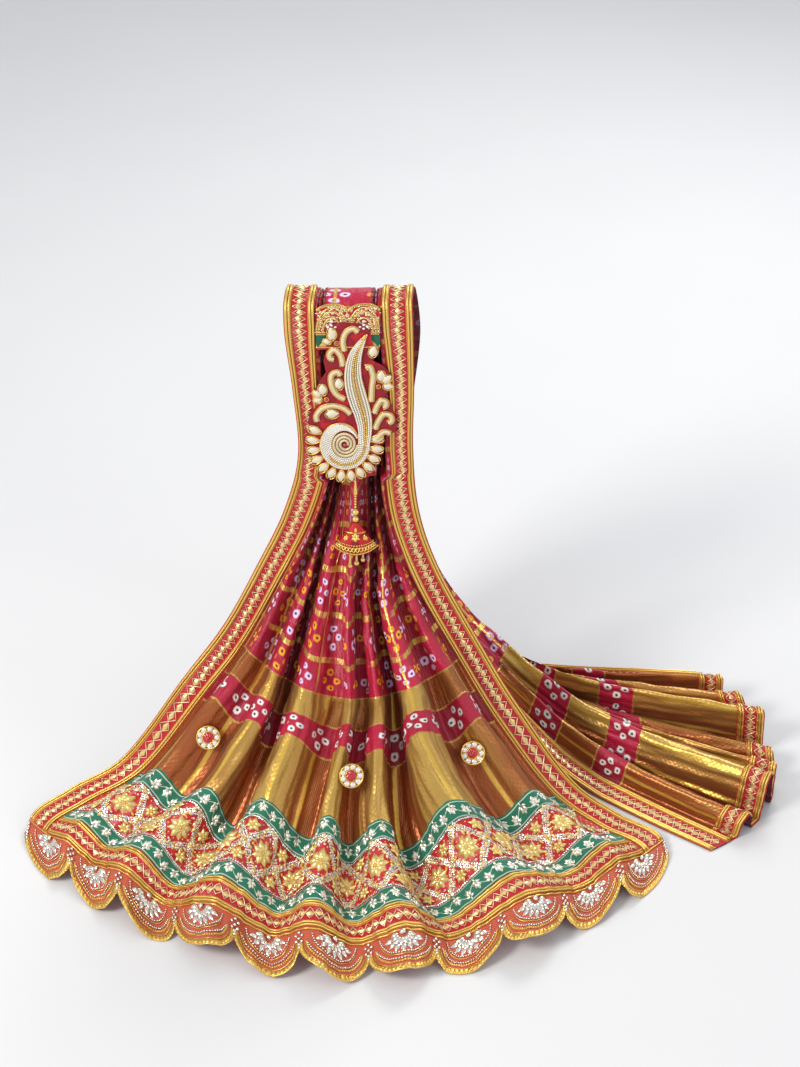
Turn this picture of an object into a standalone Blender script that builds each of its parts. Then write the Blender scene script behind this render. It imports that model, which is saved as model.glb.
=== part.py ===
"""Bandhani wedding cloth with braid borders, lattice hem band and scalloped lace.

The cloth is gathered at the top, falls as a bell in front, and its other end
goes over the top, down behind and out to the right as a tail. Everything is
in metres, +Z up, with the origin under the middle of the whole piece.
"""

import math

import bmesh
import bpy
import numpy as np
from mathutils import Matrix, Vector
from mathutils.bvhtree import BVHTree

# ---------------------------------------------------------------- sizes (m)
WIDTH = 1.06            # the cloth across, from selvedge to selvedge
BORDER = 0.038          # braid along each long side
FOOT, TAIL = 0.0, 2.200  # where the cloth starts (front hem) and ends (tail)
LACE_TIP = -0.060       # the lace hangs below the front hem
FLOOR = 0.0006          # lowest level of the middle of the sheet
EASE = 0.010            # how gently the gathered folds leave the borders
STEEP = 1.44            # steepest slope of a fold's wall, radians
CREST = 0.10            # half width of a fold's crest, as a share of the fold

# One row for each section along the cloth: the left edge, the centre and the
# right edge of its base line, how much cloth its valleys tuck away, how far
# the folds are pushed inwards and gathered beside the flat front panel, and
# how far they swing up along the cloth, in degrees.
SECTION_COLUMNS = ("t", "left_x", "left_y", "left_z", "mid_x", "mid_y", "mid_z",
                   "right_x", "right_y", "right_z", "tuck", "gather", "swing")
SECTIONS = (
    (-0.060, -0.425, -0.230, -0.003, 0.001, -0.448, -0.004, 0.418, -0.262, -0.003, 0.00, 0.00, 0),
    (0.000, -0.426, -0.165, 0.011, 0.001, -0.390, 0.005, 0.415, -0.200, 0.008, 0.00, 0.00, 0),
    (0.080, -0.376, -0.135, 0.037, 0.000, -0.325, 0.012, 0.360, -0.165, 0.020, 0.00, 0.00, 12),
    (0.162, -0.303, -0.115, 0.076, 0.002, -0.255, 0.035, 0.299, -0.135, 0.052, 0.00, 0.00, 24),
    (0.256, -0.217, -0.090, 0.192, -0.001, -0.175, 0.100, 0.221, -0.105, 0.163, 0.00, 0.00, 20),
    (0.356, -0.162, -0.072, 0.265, -0.001, -0.120, 0.180, 0.173, -0.080, 0.242, 0.10, 0.00, 12),
    (0.470, -0.113, -0.055, 0.355, 0.001, -0.078, 0.290, 0.119, -0.060, 0.345, 0.28, 0.30, 4),
    (0.584, -0.078, -0.042, 0.429, 0.002, -0.050, 0.398, 0.092, -0.045, 0.426, 0.20, 0.80, 0),
    (0.700, -0.059, -0.034, 0.509, 0.003, -0.036, 0.509, 0.084, -0.036, 0.516, 0.00, 1.00, 0),
    (0.800, -0.064, -0.028, 0.595, 0.004, -0.029, 0.596, 0.085, -0.029, 0.596, 0.05, 1.00, 0),
    (0.900, -0.072, -0.023, 0.679, 0.005, -0.023, 0.681, 0.084, -0.023, 0.681, 0.60, 1.00, 0),
    (0.940, -0.072, -0.014, 0.705, 0.006, -0.015, 0.706, 0.083, -0.014, 0.707, 0.80, 1.00, 0),
    (0.970, -0.070, 0.003, 0.714, 0.007, 0.002, 0.714, 0.084, 0.003, 0.715, 0.84, 1.00, 0),
    (1.000, -0.069, 0.026, 0.706, 0.009, 0.025, 0.706, 0.086, 0.026, 0.706, 0.80, 1.00, 0),
    (1.080, -0.064, 0.060, 0.632, 0.014, 0.062, 0.630, 0.093, 0.060, 0.635, 0.25, 0.90, 0),
    (1.200, -0.056, 0.080, 0.520, 0.014, 0.090, 0.515, 0.085, 0.080, 0.525, 0.10, 0.20, 0),
    (1.400, -0.068, 0.115, 0.330, -0.004, 0.128, 0.325, 0.064, 0.110, 0.335, 0.04, 0.00, 0),
    (1.560, -0.035, 0.170, 0.170, 0.025, 0.155, 0.188, 0.082, 0.115, 0.215, 0.12, 0.00, 0),
    (1.700, 0.050, 0.185, 0.065, 0.105, 0.140, 0.085, 0.150, 0.078, 0.135, 0.46, 0.00, 0),
    (1.800, 0.135, 0.170, 0.035, 0.198, 0.092, 0.035, 0.208, 0.014, 0.080, 0.48, 0.00, 0),
    (1.900, 0.220, 0.145, 0.034, 0.298, 0.043, 0.010, 0.262, -0.052, 0.028, 0.42, 0.00, 0),
    (2.000, 0.315, 0.132, 0.034, 0.395, 0.004, 0.001, 0.330, -0.107, 0.002, 0.30, 0.00, 0),
    (2.100, 0.405, 0.125, 0.034, 0.490, -0.035, -0.002, 0.405, -0.165, -0.004, 0.22, 0.00, 0),
    (2.200, 0.495, 0.120, 0.032, 0.580, -0.075, -0.003, 0.476, -0.215, -0.004, 0.18, 0.00, 0),
)

# One row for each fold, across the cloth: where it starts and ends, how
# strongly it stands at the hem, half way up, at the top and in the tail, and
# the share of it that is tucked away at the top.
FOLD_COLUMNS = ("start", "end", "hem", "middle", "top", "tail", "tuck_top")
FOLDS = (
    (0.038, 0.134, 0.70, 0.60, 1.00, 1.1, 0.34),
    (0.134, 0.264, 0.90, 0.60, 1.00, 0.5, 0.54),
    (0.264, 0.441, 1.00, 0.60, 0.00, 1.1, 0.98),
    (0.441, 0.560, 1.10, 0.80, 0.00, 0.5, 0.98),
    (0.560, 0.704, 1.10, 0.80, 0.00, 1.2, 0.98),
    (0.704, 0.910, 0.80, 0.50, 1.00, 0.8, 0.76),
    (0.910, 1.022, 0.70, 0.60, 1.00, 0.6, 0.46),
)
# Broad waves that carry three folds each.
LOBES = (
    (0.038, 0.264, 0.10, 0.40, 0.00, 0.0, 0.0),
    (0.264, 0.704, 0.12, 0.45, 0.00, 0.0, 0.0),
    (0.704, 1.022, 0.10, 0.35, 0.00, 0.0, 0.0),
)
# Where along the cloth the strengths above hold.
STAGES = ((-0.06, "hem"), (0.10, "hem"), (0.356, "middle"), (0.50, "middle"),
          (0.66, "top"), (1.05, "top"), (1.15, "fan"), (1.65, "fan"), (1.9, "tail"), (2.2, "tail"))
# The flat panel at the top of the front: its two walls and its face.
PANEL_START, PANEL_END, PANEL_WALL = 0.264, 0.704, 0.052
PANEL_FACE = (0.462, 0.516)


def column(table, names, name):
    """Return one named column of a table as an array."""
    return np.array([row[names.index(name)] for row in table], float)


def through(knots, values, at):
    """Smooth curve through values given at uneven knots, for all columns."""
    slope = np.gradient(values, knots, axis=0)
    i = np.clip(np.searchsorted(knots, at, side="right") - 1, 0, len(knots) - 2)
    gap = (knots[i + 1] - knots[i])[:, None]
    f = (at[:, None] - knots[i][:, None]) / gap
    return ((1 + 2 * f) * (1 - f) ** 2 * values[i] + f * (1 - f) ** 2 * gap * slope[i]
            + f * f * (3 - 2 * f) * values[i + 1] + f * f * (f - 1) * gap * slope[i + 1])


def section(t, name):
    """One column of the sections at the places t."""
    knots = column(SECTIONS, SECTION_COLUMNS, "t")
    return through(knots, column(SECTIONS, SECTION_COLUMNS, name)[:, None], t)[:, 0]


def base_lines(t, count=401):
    """Base line of each section, and the length along it, without its folds."""
    left, mid, right = (np.stack([section(t, side + axis) for axis in "xyz"], 1)[:, None]
                        for side in ("left_", "mid_", "right_"))
    f = np.linspace(-1, 1, count)[None, :, None]
    line = mid + f * (right - left) / 2 + f ** 2 * ((left + right) / 2 - mid)
    step = np.linalg.norm(np.diff(line, axis=1), axis=2)
    return line, np.concatenate([np.zeros((len(t), 1)), np.cumsum(step, 1)], 1)


def strengths(table, t):
    """How strongly each fold of the table stands at the places t."""
    knots = np.array([place for place, _ in STAGES])
    rows = [0.6 + 0.4 * column(table, FOLD_COLUMNS, "tail") if stage == "fan"
            else column(table, FOLD_COLUMNS, stage) for _, stage in STAGES]
    if table is LOBES:
        rows = [row * (stage != "fan") for row, (_, stage) in zip(rows, STAGES)]
    return np.stack([np.interp(t, knots, row) for row in np.array(rows).T], 1)


def waves(table, s, length, t, power):
    """Slope angle of each fold: up its near wall and down its far wall."""
    start, end = (column(table, FOLD_COLUMNS, name) for name in ("start", "end"))
    k = np.clip(np.searchsorted(start, s, side="right") - 1, 0, len(start) - 1)
    inside = (s >= start[0]) & (s <= end[-1])
    first = np.stack([np.interp(start, s, row) for row in length])[:, k]
    last = np.stack([np.interp(end, s, row) for row in length])[:, k]
    wave = np.sin(2 * np.pi * np.clip((length - first) / (last - first), 0, 1)) * inside
    return np.sign(wave) * np.abs(wave) ** power[:, None] * strengths(table, t)[:, k]


def drape(s_at, t_at, count=1061):
    """Middle of the sheet at the places s_at across and t_at along, its face's direction and its bends.

    A bend is how much further a corner lies from its folded sheet than the
    walls beside it do: above 1 over a crest, below -1 in a valley.
    """
    t = np.asarray(t_at, float)
    line, along = base_lines(t)
    span = along[:, -1]
    tuck, gather = (section(t, name)[:, None] for name in ("tuck", "gather"))
    tuck, gather = np.clip(tuck, 0, 0.95), np.clip(gather, 0, 1)
    s = np.linspace(0, WIDTH, count)
    step = s[1] - s[0]
    start, end = (column(FOLDS, FOLD_COLUMNS, name) for name in ("start", "end"))
    k = np.clip(np.searchsorted(start, s, side="right") - 1, 0, len(start) - 1)
    inside = (s >= start[0]) & (s <= end[-1])
    crest = np.exp(-(((s - start[k]) / (end[k] - start[k]) - 0.5) / CREST) ** 2)
    walls = ((np.abs(s - PANEL_START - PANEL_WALL / 2) < PANEL_WALL / 2)
             | (np.abs(s - PANEL_END + PANEL_WALL / 2) < PANEL_WALL / 2))
    face = (s > PANEL_FACE[0]) & (s < PANEL_FACE[1])
    panel = (s >= PANEL_START) & (s <= PANEL_END)
    shown = np.where(panel, np.maximum(0.85 * walls, face) * (1 - tuck * walls), 0.3 * crest * (1 - tuck))
    hidden = column(FOLDS, FOLD_COLUMNS, "tuck_top")[k]
    hidden = hidden + (1 - hidden) * tuck * np.where(panel, walls, 1)
    keep = (1 - gather) * (1 - tuck * (1 - crest)) + gather * (1 - hidden * (1 - shown))
    keep = np.where(inside, keep, 1.0)
    length = np.cumsum(keep, 1) * step
    length -= length[:, :1]
    power = np.interp(t, [0.0, 0.2, 0.5, 1.9, 2.2], [0.55, 0.6, 0.9, 0.9, 0.7])
    shape = waves(FOLDS, s, length, t, power) + waves(LOBES, s, length, t, np.ones(len(t)))
    push = np.where(walls, np.where(s < (PANEL_START + PANEL_END) / 2, 1.0, -1.0), 0.0)
    shape += np.clip((gather - 0.2) / 0.8, 0, 1) * push
    low, high = np.zeros(len(t)), np.full(len(t), 60.0)
    for _ in range(40):
        middle = (low + high) / 2
        slope = np.clip(middle[:, None] * shape, -STEEP, STEEP)
        wide = (np.cos(slope) * keep).sum(1) * step > span
        low, high = np.where(wide, middle, low), np.where(wide, high, middle)
    a = np.cumsum(np.cos(slope) * keep, 1) * step
    b = np.cumsum(np.sin(slope) * keep, 1) * step
    a, b = a - a[:, :1], b - b[:, :1]
    b -= b[:, -1:] * length / length[:, -1:]
    b -= np.minimum(b.min(1), 0)[:, None] * inside
    a *= (span / a[:, -1])[:, None]
    sides = [np.array([np.interp(place, s, row) for row in a])[:, None] for place in (BORDER, WIDTH - BORDER)]
    edge = np.clip(np.minimum(a - sides[0], sides[1] - a) / EASE, 0, 1)
    level = np.maximum(b.max(1), 0)[:, None]
    b = np.minimum(b - gather * level * edge * edge * (3 - 2 * edge), (1 - gather) * level)
    ahead = (base_lines(t + 0.02)[0] - base_lines(t - 0.02)[0])[:, line.shape[1] // 2]
    toward = np.cross(line[:, -1] - line[:, 0], ahead)
    toward /= np.linalg.norm(toward, axis=1)[:, None]
    swing = np.radians(section(t, "swing"))[:, None]
    toward = np.cos(swing) * toward + np.sin(swing) * ahead / np.linalg.norm(ahead, axis=1)[:, None]
    places, ups = np.empty((len(t), len(s_at), 3)), np.empty((len(t), len(s_at), 3))
    bends = np.ones((len(t), len(s_at)))
    for i in range(len(t)):
        at, rise = np.interp(s_at, s, a[i]), np.interp(s_at, s, b[i])
        tangent = np.gradient(line[i], along[i], axis=0)
        base, tangent = (np.stack([np.interp(at, along[i], c) for c in part.T], 1)
                         for part in (line[i], tangent))
        tangent /= np.linalg.norm(tangent, axis=1)[:, None]
        up = toward[i] - (tangent @ toward[i])[:, None] * tangent
        up /= np.linalg.norm(up, axis=1)[:, None]
        places[i] = base + rise[:, None] * up
        step = np.diff(places[i], axis=0)
        before, after = (np.arctan2((part * up).sum(1), (part * tangent).sum(1))
                         for part in (np.vstack([step[:1], step]), np.vstack([step, step[-1:]])))
        turn, bend = (before + after) / 2, (before - after) / 2
        ups[i] = np.cos(turn)[:, None] * up - np.sin(turn)[:, None] * tangent
        bends[i] = np.where(bend < 0, -1, 1) / np.maximum(np.cos(bend), 0.1)
    low = places[..., 2] < FLOOR
    places[low, 2] = FLOOR
    ups[low] = (0, 0, 1)
    bends[low] = 1.0
    return places, ups, bends


# ---------------------------------------------------------------- more sizes (m)
ORIGIN = (0.0763, -0.1091, 0.0)  # the middle of the piece's own box, on the floor
CLOTH = 0.0012          # thickness of the cloth
TRIM = 0.0010           # thickness of braid, ribbon and lace
GAP = 0.0004            # between the cloth and what is sewn on it
INSET = 0.0005          # from the edge of a strip to its neighbour
REACH = 0.8             # how far a corner may reach along the wall beside it
FOLD_STEPS = 6          # columns of the sheet in each fold
TURNS = 200             # steps in which a corner's direction is turned to face its facets
SECTION_STEPS = (0.0, 0.038, 0.064, 0.099, 0.134, 0.162, 0.209, 0.256, 0.306, 0.356, 0.413, 0.470,
                 0.527, 0.584, 0.642, 0.700, 0.780, 0.860, 0.900, 0.940, 0.955, 0.970, 0.985, 1.000,
                 1.035, 1.080, 1.140, 1.200, 1.300, 1.400, 1.480, 1.560, 1.630, 1.700, 1.750, 1.775,
                 1.800, 1.825, 1.850, 1.875, 1.900, 1.950, 2.000, 2.050, 2.100, 2.160, 2.200)
LACE_STEPS = (LACE_TIP, -0.030, 0.0)
LACE_GAP = 0.0008       # from the edge of the cloth to the lace
SCALLOPS = 11
NOTCH = 0.022           # how far down the notches between the scallops reach
SCALLOP_STEPS = 8

# Strips sewn on the face of the cloth: where each starts and ends.
STRIPS = (  # name, from s, to s, from t, to t, material
    ("border_left", 0.0, BORDER, FOOT, TAIL, "braid"),
    ("border_right", WIDTH - BORDER, WIDTH, FOOT, TAIL, "braid"),
    ("border_hem", BORDER, WIDTH - BORDER, 0.000, 0.038, "braid"),
    ("ribbon_lower", BORDER, WIDTH - BORDER, 0.038, 0.064, "emerald"),
    ("lattice_band", BORDER, WIDTH - BORDER, 0.064, 0.134, "lattice"),
    ("ribbon_upper", BORDER, WIDTH - BORDER, 0.134, 0.162, "emerald"),
    ("border_tail", BORDER, WIDTH - BORDER, 2.160, TAIL, "braid"),
)
HEAD_BAND = (-0.50, 0.50, 0.860, 0.940)  # share across the top, and along the cloth

# The appliqué patch on the front panel, seen face on: x to the right and z up
# from the middle of its round end.
PATCH_Z = 0.5240        # height of that middle
PATCH_X = -0.0005
PATCH_THICK = 0.0016
PATCH_CLEAR = 0.0003
PETALS = 13
PETAL_START, PETAL_END = -205.0, 12.0   # degrees round the middle
PETAL_RING, PETAL_RISE = (0.0415, 0.0475), 0.0080
PATCH_EDGE = (  # x, z: the upper part of its outline, from right to left
    (0.062, 0.016), (0.064, 0.030), (0.061, 0.042), (0.056, 0.058), (0.049, 0.066), (0.058, 0.078),
    (0.058, 0.094), (0.048, 0.106), (0.034, 0.114), (0.035, 0.134), (0.032, 0.151), (0.021, 0.162),
    (-0.001, 0.164), (-0.014, 0.161), (-0.022, 0.149), (-0.021, 0.130), (-0.025, 0.112), (-0.022, 0.098),
    (-0.031, 0.084), (-0.038, 0.069), (-0.033, 0.053), (-0.043, 0.039), (-0.046, 0.028),
)
# Pieces of the tassel, from the top down: radius at the top and at the bottom,
# length, depth as a share of width.
TASSEL = (  # name, shape, top radius, bottom radius, length, depth, material
    ("tassel_cap", "cone", 0.0009, 0.0026, 0.0179, 1.0, "gold"),
    ("tassel_beads", "cone", 0.0023, 0.0023, 0.0175, 1.0, "pearl"),
    ("tassel_pearl", "ball", 0.0045, 0.0045, 0.0090, 1.0, "pearl"),
    ("tassel_knop", "ball", 0.0043, 0.0043, 0.0086, 1.0, "gold"),
    ("tassel_bell", "cone", 0.0040, 0.0275, 0.0380, 0.36, "braid"),
)
TASSEL_X = 0.0126       # from the middle of the patch
DROPS = (  # name, x from the tassel's middle, length, radius of its pearl
    ("tassel_drop_1", -0.0070, 0.0150, 0.0030),
    ("tassel_drop_2", 0.0010, 0.0110, 0.0034),
    ("tassel_drop_3", 0.0090, 0.0070, 0.0030),
)
DROP_STRING = 0.0014
TASSEL_LAP = 0.0035     # how far up the patch its cap begins
JEWELS = (  # name, s, t
    ("jewel_1", 0.114, 0.224),
    ("jewel_2", 0.546, 0.240),
    ("jewel_3", 0.928, 0.234),
)
JEWEL_RADIUS, JEWEL_RISE, JEWEL_SIDES = 0.0155, 0.0045, 18
JEWEL_FACE = (0.0, -0.80, 0.60)  # they face the front, a little upwards

COLOURS = {  # red, green, blue, metallic, roughness
    "silk": (0.48, 0.015, 0.11, 0.0, 0.50),
    "braid": (0.62, 0.42, 0.16, 0.4, 0.45),
    "emerald": (0.02, 0.26, 0.17, 0.0, 0.80),
    "lattice": (0.60, 0.40, 0.30, 0.2, 0.55),
    "lace": (0.66, 0.50, 0.32, 0.3, 0.50),
    "patch": (0.70, 0.66, 0.55, 0.2, 0.45),
    "gold": (0.80, 0.56, 0.20, 0.9, 0.28),
    "pearl": (0.86, 0.80, 0.66, 0.1, 0.25),
    "jewel": (0.80, 0.74, 0.74, 0.3, 0.20),
}


def sheet_columns():
    """Places across the cloth where its sheet has a column of points."""
    places = [0.0]
    for fold in FOLDS:
        start, end = fold[:2]
        places += [start + (end - start) * step / FOLD_STEPS for step in range(FOLD_STEPS)]
    return np.array(places + [WIDTH - BORDER, WIDTH])


def triangles(rows, columns, first=-1):
    """Faces of a grid of points, both walls of a fold cut the same way from its foot to its crest."""
    faces = []
    for j in range(rows - 1):
        for i in range(columns - 1):
            a = j * columns + i
            b, c, d = a + 1, a + columns + 1, a + columns
            if (i + first) % FOLD_STEPS < FOLD_STEPS // 2:
                faces += [(a, b, c), (a, c, d)]
            else:
                faces += [(a, b, d), (b, c, d)]
    return faces


def grid_ups(points):
    """Direction away from the face at each point of a grid, weighed by corner angle."""
    rows, columns = points.shape[:2]
    flat = points.reshape(-1, 3)
    faces = np.array(triangles(rows, columns))
    corner = flat[faces]
    flat_ups = np.zeros_like(flat)
    normal = np.cross(corner[:, 1] - corner[:, 0], corner[:, 2] - corner[:, 0])
    normal /= np.linalg.norm(normal, axis=1)[:, None] + 1e-15
    for k in range(3):
        one = corner[:, (k + 1) % 3] - corner[:, k]
        two = corner[:, (k + 2) % 3] - corner[:, k]
        cosine = (one * two).sum(1) / (np.linalg.norm(one, axis=1) * np.linalg.norm(two, axis=1) + 1e-15)
        np.add.at(flat_ups, faces[:, k], normal * np.arccos(np.clip(cosine, -1, 1))[:, None])
    flat_ups /= np.linalg.norm(flat_ups, axis=1)[:, None]
    return flat_ups.reshape(points.shape)


def lean(points, ups, bends):
    """Turn the direction at each point of a grid until it faces every facet beside it.

    Each step turns it towards the facet that faces furthest away from it. The
    bends then say how far a corner must reach to keep off the facet that is
    still the steepest to it.
    """
    flat = points.reshape(-1, 3)
    faces = np.array(triangles(*points.shape[:2]))
    corner = flat[faces]
    normal = np.cross(corner[:, 1] - corner[:, 0], corner[:, 2] - corner[:, 0])
    normal /= np.linalg.norm(normal, axis=1)[:, None]
    turned = ups.reshape(-1, 3).copy()
    best, facing = turned.copy(), np.full(len(flat), -2.0)
    for step in range(TURNS):
        dots = (normal[:, None] * turned[faces]).sum(2)
        worst = np.full(len(flat), 2.0)
        np.minimum.at(worst, faces.ravel(), dots.ravel())
        better = worst > facing
        best[better], facing[better] = turned[better], worst[better]
        pull = np.zeros_like(flat)
        chosen = dots <= worst[faces] + 1e-12
        np.add.at(pull, faces[chosen], np.repeat(normal[:, None], 3, 1)[chosen])
        pull /= np.linalg.norm(pull, axis=1)[:, None] + 1e-12
        turned += pull * (0.5 / (1 + 0.15 * step))
        turned /= np.linalg.norm(turned, axis=1)[:, None]
    reach = 1 / np.maximum(facing, 0.1)
    return best.reshape(ups.shape), np.where(bends < 0, -1, 1) * reach.reshape(bends.shape)


def material(name):
    """Principled material of one of the named colours."""
    made = bpy.data.materials.get(name)
    if made is None:
        red, green, blue, metallic, roughness = COLOURS[name]
        made = bpy.data.materials.new(name)
        made.use_nodes = True
        shader = made.node_tree.nodes["Principled BSDF"]
        shader.inputs["Base Color"].default_value = (red, green, blue, 1)
        shader.inputs["Metallic"].default_value = metallic
        shader.inputs["Roughness"].default_value = roughness
        made.diffuse_color = (red, green, blue, 1)
    return made


def add_object(name, mesh, look, collection):
    """Put a mesh in the scene as a named object."""
    made = bpy.data.objects.new(name, mesh)
    mesh.materials.append(material(look))
    collection.objects.link(made)
    return made


def raised(points, ups, bends, level):
    """Grid of points at a level off the sheet, reaching further in the corners of its folds."""
    wall = np.linalg.norm(np.diff(points, axis=1), axis=2)
    room = np.minimum(np.pad(wall, ((0, 0), (1, 0)), mode="edge"), np.pad(wall, ((0, 0), (0, 1)), mode="edge"))
    reach = np.minimum(np.abs(bends), np.maximum(1, REACH * room / (CLOTH / 2 + GAP + TRIM)))
    places = points + ups * (level * np.where(bends * level < 0, reach, 1))[..., None]
    places[..., 2] = np.maximum(places[..., 2], FLOOR + level)
    return places


def add_layer(name, points, ups, bends, low, high, look, collection, first=0):
    """A sheet between two levels over a grid of points, closed round its rim."""
    rows, columns = points.shape[:2]
    size = rows * columns
    corners = np.concatenate([raised(points, ups, bends, level).reshape(-1, 3) for level in (high, low)])
    face = triangles(rows, columns, first)
    rim = ([j * columns for j in range(rows - 1, 0, -1)] + list(range(columns))
           + [j * columns + columns - 1 for j in range(1, rows)]
           + [(rows - 1) * columns + i for i in range(columns - 2, 0, -1)])
    sides = [(a, a + size, b + size, b) for a, b in zip(rim, rim[1:] + rim[:1])]
    mesh = bpy.data.meshes.new(name)
    mesh.from_pydata([tuple(p) for p in corners], [],
                     face + [(a + size, c + size, b + size) for a, b, c in face] + sides)
    return add_object(name, mesh, look, collection)


def shrink(points, ups, inset):
    """Draw the rim of a grid in by inset along its own facets."""
    points, ups = points.copy(), ups.copy()
    for _ in range(2):
        for edge, inner in ((0, 1), (-1, -2)):
            reach = points[inner] - points[edge]
            share = inset / np.linalg.norm(reach, axis=1)[:, None]
            points[edge] += reach * share
            ups[edge] += (ups[inner] - ups[edge]) * share
        points, ups = points.transpose(1, 0, 2), ups.transpose(1, 0, 2)
    return points, ups / np.linalg.norm(ups, axis=2)[..., None]


def add_strip(row, across, along, points, ups, bends, collection):
    """A strip sewn on the face: its back follows the cloth's facets a little way off."""
    name, s0, s1, t0, t1, look = row
    i0, i1 = (int(np.argmin(np.abs(across - s))) for s in (s0, s1))
    j0, j1 = (int(np.argmin(np.abs(along - t))) for t in (t0, t1))
    part, part_ups = shrink(points[j0:j1 + 1, i0:i1 + 1], ups[j0:j1 + 1, i0:i1 + 1], INSET)
    return add_layer(name, part, part_ups, bends[j0:j1 + 1, i0:i1 + 1], CLOTH / 2 + GAP, CLOTH / 2 + GAP + TRIM,
                     look, collection, i0 - 1)


def at_place(grid, across, along, s, t):
    """Value of a grid of points at one place, straight between its points."""
    i = int(np.clip(np.searchsorted(across, s) - 1, 0, len(across) - 2))
    j = int(np.clip(np.searchsorted(along, t) - 1, 0, len(along) - 2))
    f, g = (s - across[i]) / (across[i + 1] - across[i]), (t - along[j]) / (along[j + 1] - along[j])
    return ((1 - g) * ((1 - f) * grid[j, i] + f * grid[j, i + 1])
            + g * ((1 - f) * grid[j + 1, i] + f * grid[j + 1, i + 1]))


def add_lace(across, collection):
    """Scalloped lace below the front hem, in the line of the cloth."""
    points, ups, bends = drape(across, LACE_STEPS)
    points -= np.array(ORIGIN)
    pitch = WIDTH / SCALLOPS
    turns = [pitch * (k + 0.5 - 0.5 * math.cos(math.pi * step / SCALLOP_STEPS))
             for k in range(SCALLOPS) for step in range(SCALLOP_STEPS)]
    turns = [s for s in turns if np.abs(across - s).min() > 0.003]
    places = np.sort(np.concatenate([across, turns]))
    x = 2 * (places / pitch - np.clip(np.floor(places / pitch), 0, SCALLOPS - 1)) - 1
    drops = -NOTCH + (LACE_TIP + NOTCH) * np.sqrt(np.clip(1 - x * x, 0, 1))
    levels = (drops, np.full(len(places), -0.012), np.full(len(places), -LACE_GAP))
    lines = [np.array([[at_place(grid, across, LACE_STEPS, s, t) for s, t in zip(places, level)]
                       for level in levels]) for grid in (points, ups)]
    corners = np.ones((len(levels), len(places)))
    corners[:, np.isin(places, across)] = bends[-1]
    return add_layer("scallop_lace", *lines, corners, -TRIM / 2, TRIM / 2, "lace", collection)


def base_at(share, t):
    """Points of the base surface, where the folds' crests and the borders lie."""
    t = np.asarray(t, float)
    line, _ = base_lines(t)
    places = np.linspace(-1, 1, line.shape[1])
    return np.stack([np.stack([np.interp(share, places, row[:, axis]) for axis in range(3)], 1)
                     for row in line]) - np.array(ORIGIN)


def add_head_band(collection):
    """Worked band across the top of the front panel, between the borders."""
    first, last, low, high = HEAD_BAND
    rows = [t for t in SECTION_STEPS if low <= t <= high]
    points = base_at(np.linspace(first, last, 9), rows)
    return add_layer("head_band", points, grid_ups(points), np.ones(points.shape[:2]), CLOTH / 2 + GAP,
                     CLOTH / 2 + GAP + TRIM, "lace", collection)


def surface_tree(objects):
    """Search tree over the evaluated faces of the objects."""
    bpy.context.view_layer.update()
    graph = bpy.context.evaluated_depsgraph_get()
    points, faces = [], []
    for item in objects:
        seen = item.evaluated_get(graph)
        mesh = seen.to_mesh()
        first = len(points)
        points += [item.matrix_world @ v.co for v in mesh.vertices]
        faces += [[first + k for k in face.vertices] for face in mesh.polygons]
        seen.to_mesh_clear()
    return BVHTree.FromPolygons(points, faces)


def rise_over(tree, frame, spots, reach=0.15):
    """How far the surface stands above the frame's plane, at the most, at the spots."""
    up = frame.to_3x3() @ Vector((0, 0, 1))
    best = -1.0
    for x, y in spots:
        start = frame @ Vector((x, y, reach))
        hit = tree.ray_cast(start, -up, 2 * reach)[0]
        if hit is not None:
            best = max(best, (hit - frame.translation).dot(up))
    return best


def patch_outline():
    """Outline of the patch: petals round its lower end and the table above it."""
    edge = []
    count = PETALS * 4
    for step in range(count + 1):
        angle = math.radians(PETAL_START + (PETAL_END - PETAL_START) * step / count)
        out = PETAL_RISE * abs(math.sin(math.pi * step / 4)) ** 0.7
        edge.append(((PETAL_RING[0] + out) * math.cos(angle), (PETAL_RING[1] + out) * math.sin(angle)))
    return edge + list(PATCH_EDGE)


def add_patch(tree, collection):
    """Flat plate of the patch, leaning with the front panel and just clear of it."""
    low, high = base_at([0.0], (0.700, 0.860))[:, 0]
    rise = Vector(high - low).normalized()
    right = Vector((1, 0, 0))
    out = right.cross(rise).normalized()
    edge = patch_outline()
    middle = Vector((PATCH_X - ORIGIN[0], 0, PATCH_Z - ORIGIN[2]))
    middle.y = low[1] + (middle.z - low[2]) * rise.y / rise.z
    frame = Matrix.Translation(middle) @ Matrix((right, rise, out)).transposed().to_4x4()
    spots = [(x * f, z * f) for x, z in edge for f in np.linspace(0.02, 1.01, 34)]
    clear = rise_over(tree, frame, spots) + PATCH_CLEAR + PATCH_THICK / 2
    curve = bpy.data.curves.new("patch_paisley", "CURVE")
    curve.dimensions = "2D"
    curve.fill_mode = "BOTH"
    curve.extrude = PATCH_THICK / 2
    line = curve.splines.new("POLY")
    line.points.add(len(edge) - 1)
    for point, (x, z) in zip(line.points, edge):
        point.co = (x, z, 0, 1)
    line.use_cyclic_u = True
    curve.materials.append(material("patch"))
    made = bpy.data.objects.new("patch_paisley", curve)
    made.matrix_world = Matrix.Translation(out * clear) @ frame
    collection.objects.link(made)
    return made, out


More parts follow.
